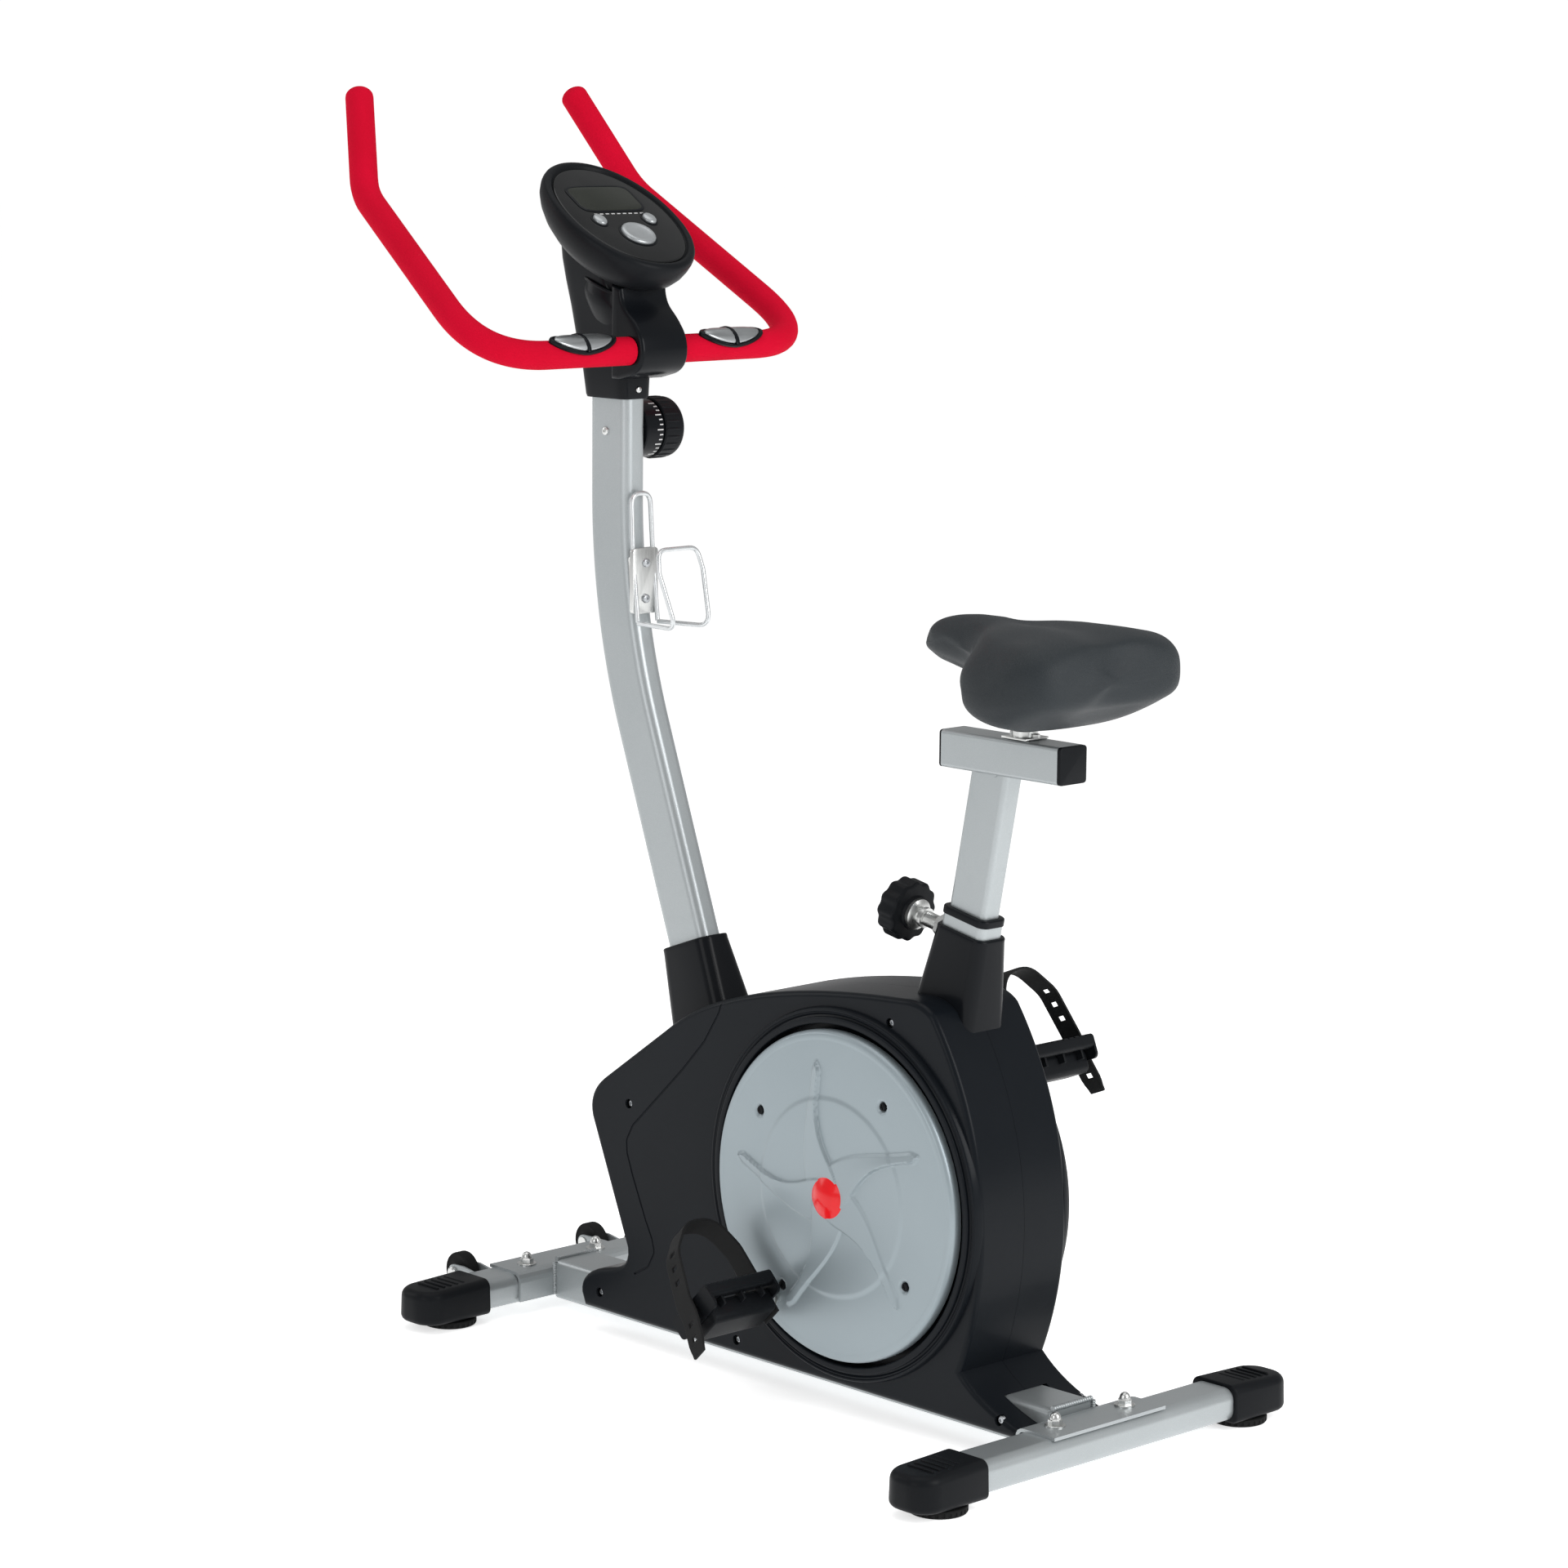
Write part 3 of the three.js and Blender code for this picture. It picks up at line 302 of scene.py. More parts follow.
# %% Black mouldings and rubber
def black_moulding(name, tint, rough, grain, gloss):
    bench = Bench(name, **{"Specular IOR Level": 0.08, "Coat Roughness": 0.12})
    sparks = bench.cells(1500)
    fine = bench.noise(1100, 3)
    patches = bench.noise(7, 5)
    light = tuple(c * 1.5 + 0.003 for c in tint)
    return bench.finish(Base_Color=bench.blend(tint, light, patches * 0.7 + fine * 0.2),
                        Roughness=rough + patches * 0.08 + sparks * 0.06, Coat_Weight=gloss + patches * 0.02,
                        Normal=bench.bump(sparks * 0.6 + fine * 0.4, grain, 0.0004))


def soft_rubber():
    bench = Bench("soft_rubber", **{"Specular IOR Level": 0.14})
    dust = bench.noise(40, 6)
    pores = bench.noise(900, 2)
    return bench.finish(Base_Color=bench.blend((0.005, 0.0055, 0.006), (0.018, 0.018, 0.018), dust * 0.8),
                        Roughness=0.62 + dust * 0.2, Normal=bench.bump(pores, 0.3, 0.0004))


def ribbed_belt():
    bench = Bench("ribbed_belt", **{"Specular IOR Level": 0.3})
    ribs = bench.add("ShaderNodeTexWave", {"bands_direction": "Y"}, {
        "Vector": bench.place(), "Scale": 110.0})
    dust = bench.noise(60, 4)
    return bench.finish(Base_Color=bench.blend((0.012, 0.012, 0.012), (0.04, 0.04, 0.04), dust),
                        Roughness=0.7 + dust * 0.15, Normal=bench.bump(ribs, 0.6, 0.001))


SHELL_BLACK = black_moulding("shell_black", (0.0036, 0.0050, 0.0070), 0.30, 0.08, 0.035)
TRIM_BLACK = black_moulding("trim_black", (0.0030, 0.0038, 0.0052), 0.24, 0.04, 0.07)
GRIP_BLACK = black_moulding("grip_black", (0.0042, 0.0050, 0.0062), 0.38, 0.22, 0.01)
RUBBER = soft_rubber()
BELT = ribbed_belt()
print("black mouldings ready")

# %% [markdown]
# The cover discs are moulded in a blue-grey and sprayed silver, so they look like metal with
# a soft sheen. Their caps are glossy red. The bar's foam is a matt closed-cell tube: tiny
# pores, a skin that is a little lighter where hands rub it, and no clear highlight.

# %% Disc, caps, foam, vinyl and console finishes
def disc_paint():
    bench = Bench("disc_paint", **{"Specular IOR Level": 0.5, "Coat Roughness": 0.22})
    flakes = bench.cells(2200)
    cloud = bench.noise(12, 4)
    return bench.finish(Base_Color=bench.blend((0.25, 0.30, 0.325), (0.31, 0.36, 0.385),
                                               cloud * 0.6 + flakes * 0.3),
                        Roughness=0.36 + cloud * 0.08, Metallic=0.35 + flakes * 0.12,
                        Coat_Weight=0.15 + cloud * 0.1,
                        Normal=bench.bump(bench.noise(500, 2), 0.05, 0.0003))


def red_gloss():
    bench = Bench("red_gloss", **{"Coat Roughness": 0.05, "Specular IOR Level": 0.25})
    swirl = bench.noise(45, 4)
    return bench.finish(Base_Color=bench.blend((0.62, 0.004, 0.008), (0.86, 0.012, 0.016), swirl),
                        Roughness=0.16 + swirl * 0.08, Coat_Weight=0.12 + swirl * 0.06,
                        Normal=bench.bump(bench.noise(260, 2), 0.04, 0.0003))


def bar_foam():
    bench = Bench("bar_foam", **{"Specular IOR Level": 0.04, "Sheen Weight": 0.0})
    pores = bench.cells(1300)
    skin = bench.noise(700, 5)
    rubbed = bench.noise(14, 4)
    return bench.finish(Base_Color=bench.blend((0.44, 0.0015, 0.014), (0.62, 0.004, 0.030),
                                               rubbed * 0.7 + skin * 0.3),
                        Roughness=0.72 + rubbed * 0.14,
                        Normal=bench.bump(skin, 0.25, 0.0005, under=bench.bump(pores, 0.3, 0.0006)))


def grained_vinyl():
    bench = Bench("grained_vinyl", **{"Specular IOR Level": 0.28, "Sheen Weight": 0.02})
    creases = bench.cells(620, "DISTANCE_TO_EDGE")
    fine = bench.noise(1500, 4)
    worn = bench.noise(10, 4)
    pebble = bench.add("ShaderNodeMath", {"operation": "MINIMUM"}, {0: creases * 3.0, 1: 1.0})
    return bench.finish(Base_Color=bench.blend((0.010, 0.0135, 0.0165), (0.019, 0.025, 0.029),
                                               worn * 0.6 + pebble * 0.3),
                        Roughness=0.52 + worn * 0.12 - pebble * 0.06,
                        Normal=bench.bump(pebble, 0.35, 0.0004, under=bench.bump(fine, 0.1, 0.0003)))


def smoked_window():
    bench = Bench("smoked_window", **{"Specular IOR Level": 0.22, "Coat Roughness": 0.06})
    smear = bench.noise(35, 5)
    return bench.finish(Base_Color=bench.blend((0.0030, 0.0036, 0.0042), (0.0060, 0.0068, 0.0072), smear),
                        Roughness=0.10 + smear * 0.12, Coat_Weight=0.05 + smear * 0.08,
                        Normal=bench.bump(smear, 0.02, 0.0003))


def display_panel():
    bench = Bench("display_panel", **{"Specular IOR Level": 0.3})
    lines = bench.add("ShaderNodeTexWave", {"bands_direction": "Y"}, {
        "Vector": bench.place(), "Scale": 700.0})
    haze = bench.noise(40, 3)
    return bench.finish(Base_Color=bench.blend((0.006, 0.008, 0.005), (0.012, 0.015, 0.009),
                                               haze * 0.6 + lines * 0.4),
                        Roughness=0.16 + haze * 0.08, Normal=bench.bump(lines, 0.02, 0.0002))


def button_silver():
    bench = Bench("button_silver", **{"Specular IOR Level": 0.5, "Coat Roughness": 0.1})
    flakes = bench.cells(2600)
    rubbed = bench.noise(70, 4)
    return bench.finish(Base_Color=bench.blend((0.30, 0.32, 0.33), (0.44, 0.46, 0.47),
                                               flakes * 0.4 + rubbed * 0.5),
                        Roughness=0.26 + rubbed * 0.12, Metallic=0.5 + flakes * 0.1,
                        Coat_Weight=0.2 + rubbed * 0.1, Normal=bench.bump(flakes, 0.04, 0.0002))


def print_white():
    bench = Bench("print_white")
    wear = bench.noise(400, 4)
    return bench.finish(Base_Color=bench.blend((0.42, 0.42, 0.42), (0.70, 0.70, 0.70), wear),
                        Roughness=0.5 + wear * 0.2, Normal=bench.bump(wear, 0.1, 0.0002))


def floor_paper():
    bench = Bench("floor_paper", **{"Specular IOR Level": 0.0, "Emission Strength": 0.62,
                                    "Emission Color": (1, 1, 1, 1)})
    fibre = bench.noise(300, 3)
    return bench.finish(Base_Color=bench.blend((0.95, 0.95, 0.95), (0.97, 0.97, 0.97), fibre),
                        Roughness=0.85 + fibre * 0.1)


DISC = disc_paint()
RED = red_gloss()
FOAM = bar_foam()
VINYL = grained_vinyl()
WINDOW = smoked_window()
PANEL = display_panel()
BUTTON = button_silver()
PRINT = print_white()
studio_floor.data.materials.append(floor_paper())
print(len(bpy.data.materials), "materials")

# %% [markdown]
# Every CAD node takes its finish from its material slot in the record. A node that a
# detailed piece replaces later is hidden, and keeps its finish in case it is shown again.

# %% Finishes on the CAD nodes
FINISHES = {
    "silver": SILVER, "black": TRIM_BLACK, "rubber": RUBBER, "disc": DISC, "red": RED,
    "foam": FOAM, "zinc": ZINC, "steel": STEEL, "iron": IRON, "belt": BELT, "saddle": VINYL,
    "glass": WINDOW, "button": BUTTON, "plate": SENSOR_PLATE, "wire": WIRE,
}
for part in frame["record"]["subparts"]:
    shown = nodes[part["node"]]
    shown.data.materials.clear()
    shown.data.materials.append(FINISHES[part["material_slot"]])

# %% [markdown]
# The drawing's sizes are in millimetres, so the small tools below take millimetres too and
# turn them into metres. Each one is a few of Blender's own operators, as used by hand: add a
# primitive, open it in edit mode, pick faces or edges by their place, then extrude, bevel,
# spin or bisect. Everything is deselected first, because an operator acts on all that is
# selected.

# %% Picking and editing
MM = 0.001


def clear():
    """Leaves edit mode and deselects every object."""
    if bpy.context.object and bpy.context.object.mode != "OBJECT":
        bpy.ops.object.mode_set(mode="OBJECT")
    bpy.ops.object.select_all(action="DESELECT")


def hold(piece):
    """Selects this object alone and makes it the active one."""
    clear()
    piece.select_set(True)
    bpy.context.view_layer.objects.active = piece
    return piece


def edit(piece):
    """Opens the piece in edit mode with nothing selected."""
    hold(piece)
    bpy.ops.object.mode_set(mode="EDIT")
    bpy.ops.mesh.select_all(action="DESELECT")


def pick(piece, kind, test):
    """Selects the faces, edges or vertices whose centre, in mm, and element pass a test."""
    bpy.ops.mesh.select_mode(type=kind)
    bpy.ops.mesh.select_all(action="DESELECT")
    mesh = bmesh.from_edit_mesh(piece.data)
    group = {"FACE": mesh.faces, "EDGE": mesh.edges, "VERT": mesh.verts}[kind]
    for element in group:
        corners = [element] if kind == "VERT" else element.verts
        centre = sum((v.co for v in corners), Vector()) / len(corners) / MM
        if test(centre, element):
            element.select_set(True)
    bmesh.update_edit_mesh(piece.data)


def everything(*_):
    return True


def bevel(piece, radius, segments=3, test=everything, profile=0.5):
    """Rounds the edges that pass a test."""
    edit(piece)
    pick(piece, "EDGE", test)
    bpy.ops.mesh.bevel(offset=radius * MM, segments=segments, profile=profile, affect="EDGES",
                       clamp_overlap=True)
    clear()
    return piece


def move_points(piece, place):
    """Moves each vertex to place(its position), both in mm: a free-hand push in code."""
    for vertex in piece.data.vertices:
        vertex.co = Vector(place(vertex.co / MM)) * MM
    piece.data.update()
    return piece


print("editing tools ready")

# %% [markdown]
# Four ways to start a piece: a block, a turned profile, a wire along a route, and a flat
# outline given thickness. The turned piece is what a lathe does: one corner point is pulled
# along the profile with extrude, and spin sweeps it round the axis.

# %% Blocks and turned pieces
def block(x, y, z, name="block"):
    """A box between two heights on each axis."""
    clear()
    middle = [(span[0] + span[1]) / 2 * MM for span in (x, y, z)]
    bpy.ops.mesh.primitive_cube_add(size=1, location=middle)
    piece = bpy.context.object
    piece.scale = [abs(span[1] - span[0]) * MM for span in (x, y, z)]
    bpy.ops.object.transform_apply(location=True, rotation=True, scale=True)
    piece.name = name
    return piece


def spun(profile, place, axis=(0, 1, 0), steps=64, name="turned"):
    """Turns (radius, height) pairs about an axis through place."""
    axis = Vector(axis).normalized()
    side = axis.orthogonal().normalized()
    centre = Vector(place) * MM
    points = [centre + (side * r + axis * h) * MM for r, h in profile]
    clear()
    bpy.ops.mesh.primitive_plane_add(size=MM, location=points[0])
    piece = bpy.context.object
    bpy.ops.object.transform_apply(location=True, rotation=True, scale=True)
    edit(piece)
    bpy.ops.mesh.select_mode(type="VERT")
    bpy.ops.mesh.select_all(action="SELECT")
    bpy.ops.mesh.merge(type="CENTER")
    for start, end in zip(points, points[1:]):
        bpy.ops.mesh.extrude_region_move(TRANSFORM_OT_translate={"value": end - start})
    bpy.ops.mesh.select_all(action="SELECT")
    bpy.ops.mesh.spin(steps=steps, angle=2 * math.pi, center=centre, axis=axis)
    bpy.ops.mesh.select_all(action="SELECT")
    bpy.ops.mesh.remove_doubles(threshold=2e-6)
    bpy.ops.mesh.normals_make_consistent(inside=False)
    clear()
    piece.name = name
    return piece


def arc(centre, radius, start, end, count):
    """Points on an arc in a profile, with angles in degrees."""
    return [(centre[0] + radius * math.cos(math.radians(start + (end - start) * k / count)),
             centre[1] + radius * math.sin(math.radians(start + (end - start) * k / count)))
            for k in range(count + 1)]


print("blocks and turned pieces ready")

# %% [markdown]
# A route is a list of corners with a bend at each. The wire is a curve with a round bevel,
# turned into a mesh at once. Its thickness can change along the way, which makes the domed
# tips of the foam grips.

# %% Routes, wires and flat outlines
def route(corners, bend, step=4):
    """Points along straight runs through the corners, with a smooth bend at each."""
    corners = [Vector(corner) for corner in corners]
    points = [corners[0]]
    for before, corner, after in zip(corners, corners[1:], corners[2:]):
        into, out = (corner - before).normalized(), (after - corner).normalized()
        trim = bend * math.tan(into.angle(out) / 2)
        start, end = corner - into * trim, corner + out * trim
        count = max(3, int(2 * trim / step))
        for k in range(count + 1):
            t = k / count
            points.append(start * (1 - t) ** 2 + corner * 2 * t * (1 - t) + end * t * t)
    points.append(corners[-1])
    return points


def wire(points, radius, name="wire", sizes=None, roundness=6):
    """A round wire or tube through the points, with closed ends."""
    clear()
    line = bpy.data.curves.new(name, "CURVE")
    line.dimensions = "3D"
    line.bevel_depth = radius * MM
    line.bevel_resolution = roundness
    line.use_fill_caps = True
    spline = line.splines.new("POLY")
    spline.points.add(len(points) - 1)
    for k, point in enumerate(points):
        spline.points[k].co = (*(Vector(point) * MM), 1)
        spline.points[k].radius = sizes[k] if sizes else 1
    piece = bpy.data.objects.new(name, line)
    bpy.context.collection.objects.link(piece)
    hold(piece)
    bpy.ops.object.convert(target="MESH")
    return bpy.context.object


def outline(points, lift, name="plate"):
    """A flat closed outline of 3-D points in mm, extruded by lift."""
    clear()
    bpy.ops.mesh.primitive_circle_add(vertices=len(points), radius=0.1, fill_type="NGON")
    piece = bpy.context.object
    for vertex, point in zip(piece.data.vertices, points):
        vertex.co = Vector(point) * MM
    edit(piece)
    bpy.ops.mesh.select_all(action="SELECT")
    bpy.ops.mesh.extrude_region_move(TRANSFORM_OT_translate={"value": Vector(lift) * MM})
    bpy.ops.mesh.select_all(action="SELECT")
    bpy.ops.mesh.normals_make_consistent(inside=False)
    clear()
    piece.name = name
    return piece


print("routes and outlines ready")

# %% [markdown]
# Pieces are joined, cut and copied like this. A cut is a Boolean modifier that is applied at
# once. The last tool puts a finished piece on the bike: it merges doubles, turns the faces
# outwards, smooths what should look round, and makes the piece ride on its CAD body.

# %% Cutting, copying and finishing
def boolean(piece, other, operation="DIFFERENCE"):
    """Cuts another piece out of this one, or joins it on, and removes the other."""
    hold(piece)
    modifier = piece.modifiers.new("cut", "BOOLEAN")
    modifier.operation = operation
    modifier.solver = "EXACT"
    modifier.object = other
    bpy.ops.object.modifier_apply(modifier=modifier.name)
    bpy.data.objects.remove(other)
    return piece


def joined(*pieces):
    """One object from several."""
    hold(pieces[0])
    for piece in pieces:
        piece.select_set(True)
    bpy.ops.object.join()
    return bpy.context.object


def copied(piece, matrix):
    """A copy with its own mesh, moved by a matrix whose lengths are in mm."""
    hold(piece)
    bpy.ops.object.duplicate()
    copy = bpy.context.object
    scaled = matrix.copy()
    scaled.translation *= MM
    copy.data.transform(scaled)
    if scaled.determinant() < 0:
        edit(copy)
        bpy.ops.mesh.select_all(action="SELECT")
        bpy.ops.mesh.flip_normals()
        clear()
    return copy


MIRROR = Matrix.Diagonal((1, -1, 1, 1))


def about_y(angle, centre=(0, 0, 0)):
    """A turn about a line along Y through a centre, in degrees by the right-hand rule."""
    there, back = Matrix.Translation(Vector(centre)), Matrix.Translation(-Vector(centre))
    return there @ Matrix.Rotation(math.radians(angle), 4, "Y") @ back


def place(piece, name, body, finish, *replaced, angle=35, tidy=True, weighted=False):
    """Finishes a piece and lets it ride on its CAD body."""
    hold(piece)
    bpy.ops.object.transform_apply(location=True, rotation=True, scale=True)
    piece.name = name
    piece.data.name = name
    if tidy:
        edit(piece)
        bpy.ops.mesh.select_all(action="SELECT")
        bpy.ops.mesh.remove_doubles(threshold=2e-6)
        bpy.ops.mesh.normals_make_consistent(inside=False)
        hold(piece)
    bpy.ops.object.shade_smooth_by_angle(angle=math.radians(angle))
    if weighted:
        modifier = piece.modifiers.new("even", "WEIGHTED_NORMAL")
        modifier.keep_sharp = True
        bpy.ops.object.modifier_apply(modifier=modifier.name)
    piece.data.materials.clear()
    piece.data.materials.append(finish)
    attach(piece, body)
    if replaced:
        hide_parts(*replaced)
    return piece


def both_sides(piece, name, body, finish, *replaced, **options):
    """A left piece and its mirrored right copy. In the names, {} is the side."""
    other = copied(piece, MIRROR)
    for side, made in (("left", piece), ("right", other)):
        place(made, name.format(side), body.format(side), finish,
              *[node.format(side) for node in replaced], **options)
    return piece, other


print("finishing tools ready")

# %% [markdown]
# Some pieces change their section all the way along, such as the console's bowl or the head
# cover. They are lofted: a filled circle is the first section, and each extrude makes the
# next, whose points are then put in place.

# %% Lofts
def lofted(rings, name="loft"):
    """Extrudes one section into the next. Every ring is a list of as many points in mm."""
    count = len(rings[0])
    clear()
    bpy.ops.mesh.primitive_circle_add(vertices=count, radius=0.1, fill_type="NGON")
    piece = bpy.context.object
    for vertex, point in zip(piece.data.vertices, rings[0]):
        vertex.co = Vector(point) * MM
    edit(piece)
    bpy.ops.mesh.select_all(action="SELECT")
    bpy.ops.mesh.select_mode(type="FACE")
    before = [Vector(point) * MM for point in rings[0]]
    for ring in rings[1:]:
        bpy.ops.mesh.extrude_region_move(TRANSFORM_OT_translate={"value": (0, 0, 0)})
        mesh = bmesh.from_edit_mesh(piece.data)
        after = [Vector(point) * MM for point in ring]
        for vertex in [v for v in mesh.verts if v.select]:
            k = min(range(count), key=lambda i: (before[i] - vertex.co).length_squared)
            vertex.co = after[k]
        bmesh.update_edit_mesh(piece.data)
        before = after
    bpy.ops.mesh.select_all(action="SELECT")
    bpy.ops.mesh.normals_make_consistent(inside=False)
    clear()
    piece.name = name
    return piece


def oval(centre, across, along, half_across, half_along, square=2.0, count=48):
    """Points of an oval; a higher square number makes its corners fuller."""
    points = []
    for k in range(count):
        c, s = math.cos(2 * math.pi * k / count), math.sin(2 * math.pi * k / count)
        u = math.copysign(abs(c) ** (2 / square), c) * half_across
        v = math.copysign(abs(s) ** (2 / square), s) * half_along
        points.append(Vector(centre) + Vector(across) * u + Vector(along) * v)
    return points


X, Y, Z = Vector((1, 0, 0)), Vector((0, 1, 0)), Vector((0, 0, 1))
print("lofts ready")

# %% [markdown]
# ## The housing
#
# Two injection-moulded shells meet on the centre plane and hide the belt drive. Each could be
# sculpted, but its face is flat and only its rim is rounded, so it is quicker and truer to
# draw the outline, give it depth, and round the rim as the mould does. The rear wall is a
# large arc, the nose is blunt, and low skirts reach out over the beam at both ends.

# %% The outline of the shells
def bent(start, control, end, count=10):
    """Points of a quadratic curve, without its start."""
    start, control, end = Vector(start), Vector(control), Vector(end)
    return [start * (1 - t) ** 2 + control * 2 * t * (1 - t) + end * t * t
            for t in (k / count for k in range(1, count + 1))]


def shell_outline(inset=0.0):
    """The side view, as (x, z) points, drawn in by inset."""
    rear = [Vector(p) for p in arc((-4, 214), 366 - inset, 202, 144, 34)]
    points = [Vector((222 - inset, 26 + inset)), Vector((-420 + inset, 26 + inset)),
              Vector((-424 + inset, 36 - inset * 0.3))]
    points += bent((-424 + inset, 36 - inset * 0.3), (-372 + inset, 50 - inset), rear[0], 8)
    points += rear[1:]
    points += bent(rear[-1], (-284 + inset, 443 - inset), (-255, 440 - inset), 8)
    points += bent((-255, 440 - inset), (-90, 432 - inset), (20, 392 - inset), 14)
    points += bent((20, 392 - inset), (60, 377 - inset), (96, 350 - inset), 6)
    points += [Vector((192 - inset, 283 - inset))]
    points += bent((192 - inset, 283 - inset), (219 - inset, 264 - inset), (211 - inset, 238), 8)
    points += [Vector((154 - inset, 104))]
    points += bent((154 - inset, 104), (150 - inset, 82 - inset), (182 - inset, 76 - inset), 6)
    points += bent((182 - inset, 76 - inset), (232 - inset, 66 - inset), (228 - inset, 40), 8)
    return points


CRANK_AT = (-177, 0, 226)
SHELL_HALF = 62


def slab_of(points, y0, y1, name):
    return outline([(p[0], y0, p[1]) for p in points], (0, y1 - y0, 0), name)


left_shell = slab_of(shell_outline(), 0.15, SHELL_HALF, "left_shell")
print("outline of", len(shell_outline()), "points")

# %% [markdown]
# The rim between the face and the wall is rounded by a bevel. The seam on the centre plane
# stays sharp, because the other shell meets it there. Then the shell is hollowed, as a
# moulding is about 3 mm thick, and gets the round well in which the cover disc turns.

# %% Rounded rim, hollow and well
bevel(left_shell, 9, 5, lambda c, edge: c.y > SHELL_HALF - 1)
hollow = slab_of(shell_outline(3.2), -1, SHELL_HALF - 3.2, "hollow")
boolean(left_shell, hollow)
cup = spun([(0, 46.8), (179, 46.8), (179, 60), (0, 60)], CRANK_AT, steps=96)
boolean(left_shell, cup, "UNION")
well = spun([(0, 50), (175.5, 50), (175.5, 80), (0, 80)], CRANK_AT, steps=96)
boolean(left_shell, well)
axle_hole = spun([(0, 20), (14, 20), (14, 70), (0, 70)], CRANK_AT, steps=40)
boolean(left_shell, axle_hole)
beam_slot = block((-440, 305), (-10, 30.6), (0, 54.6))
boolean(left_shell, beam_slot)
print("shell with", len(left_shell.data.polygons), "faces")

# %% [markdown]
# Small features make a moulding read as real: the groove that outlines the front panel, the
# sunk screws and the scalloped vents along the front edge. They are all cut at once, with one
# object of separate cutters.

# %% Groove, screw holes and vents
PANEL_SEAM = [(6, 394), (10, 383), (32, 349), (66, 313), (143, 240), (153, 222), (152, 208),
              (143, 185), (122, 140), (112, 122), (108, 108), (118, 90), (140, 78)]
seam_route = route([(x, SHELL_HALF, z) for x, z in PANEL_SEAM], 8, 3)
cutters = [wire(seam_route, 1.1, roundness=2)]
SHELL_SCREWS = [(-240, 437 - 24), (-352, 262), (-398, 40), (-20, 40), (196, 46), (150, 262)]
for x, z in SHELL_SCREWS:
    cutters.append(spun([(0, 54), (5.2, 54), (5.2, 70), (0, 70)], (x, 0, z), steps=24))
for k in range(6):
    x, z = 205 - 9.2 * k, 222 - 21.5 * k
    vent = block((x - 13, x + 9), (18, 50), (z - 3.2, z + 3.2))
    bevel(vent, 2.8, 2)
    cutters.append(copied(vent, about_y(24, (x, 0, z))))
    bpy.data.objects.remove(vent)
boolean(left_shell, joined(*cutters))

place(left_shell, "housing_shell_left", "base", SHELL_BLACK, "housing_left", angle=32, tidy=False,
      weighted=True)
right_shell = copied(left_shell, MIRROR)
place(right_shell, "housing_shell_right", "base", SHELL_BLACK, "housing_right", angle=32,
      tidy=False, weighted=True)
print("both shells have", len(left_shell.data.polygons), "faces each")

# %% [markdown]
# A raised double ring frames each cover disc. It is a turned profile with a groove in it,
# and it sinks a little into the shell's face, where the real one is moulded with it.

# %% Rings round the discs
ring_profile = [(175.4, 58), (175.4, 69.2), *arc((177, 69.2), 1.6, 180, 90, 4), (181, 70.8),
                *arc((181, 69.2), 1.6, 90, 0, 4), (182.6, 67), (184.2, 66.2), (186, 67.4),
                *arc((189, 66.2), 2.0, 150, 20, 5), (192.6, 61.0), (192.6, 58), (175.4, 58)]
both_sides(spun(ring_profile, CRANK_AT, steps=128), "disc_ring_{}", "base", SHELL_BLACK)

screw_profile = [(0, 55), (4.2, 55), (4.2, 57.4), *arc((2.6, 57.4), 1.6, 0, 90, 4), (1.6, 59),
                 (1.2, 57.8), (0, 57.8)]
shell_screws = [spun(screw_profile, (x, 0, z), steps=20) for x, z in SHELL_SCREWS]
both_sides(joined(*shell_screws), "shell_screws_{}", "base", STEEL)
print("rings and screws placed")

# %% [markdown]
# The boots close the gap where the mast and the seat tube enter the shells. Each is a
# tapered sleeve with soft vertical corners and a rolled upper lip. It starts as a block,
# whose top face is made smaller and then inset and pulled up for the lip.

# %% Boots
def sleeve(low, high, height, corner, lip, hole, name):
    """A tapered sleeve on Z, low and high being its (x, y) sizes, with a hole through it."""
    piece = block((-low[0] / 2, low[0] / 2), (-low[1] / 2, low[1] / 2), (0, height), name)
    move_points(piece, lambda p: (
        p.x * (high[0] / low[0] if p.z > 1 else 1), p.y * (high[1] / low[1] if p.z > 1 else 1), p.z))
    bevel(piece, corner, 6, lambda c, edge: 1 < c.z < height - 1)
    edit(piece)
    pick(piece, "FACE", lambda c, face: face.normal.z > 0.9)
    bpy.ops.mesh.inset(thickness=-lip * MM)
    bpy.ops.mesh.extrude_region_move(TRANSFORM_OT_translate={"value": (0, 0, 5 * MM)})
    bevel(piece, 1.8, 3, lambda c, edge: c.z > height + 4.9)
    bore = block((-hole[0] / 2, hole[0] / 2), (-hole[1] / 2, hole[1] / 2), (-10, height + 20))
    bevel(bore, hole[2], 6, lambda c, edge: abs(edge.verts[0].co.z - edge.verts[1].co.z) > 0.01)
    return boolean(piece, bore)


def leaning(piece, angle, foot):
    """Leans a piece made on Z back by an angle and stands it at foot."""
    piece.data.transform(about_y(angle))
    piece.data.transform(Matrix.Translation(Vector(foot) * MM))
    return piece


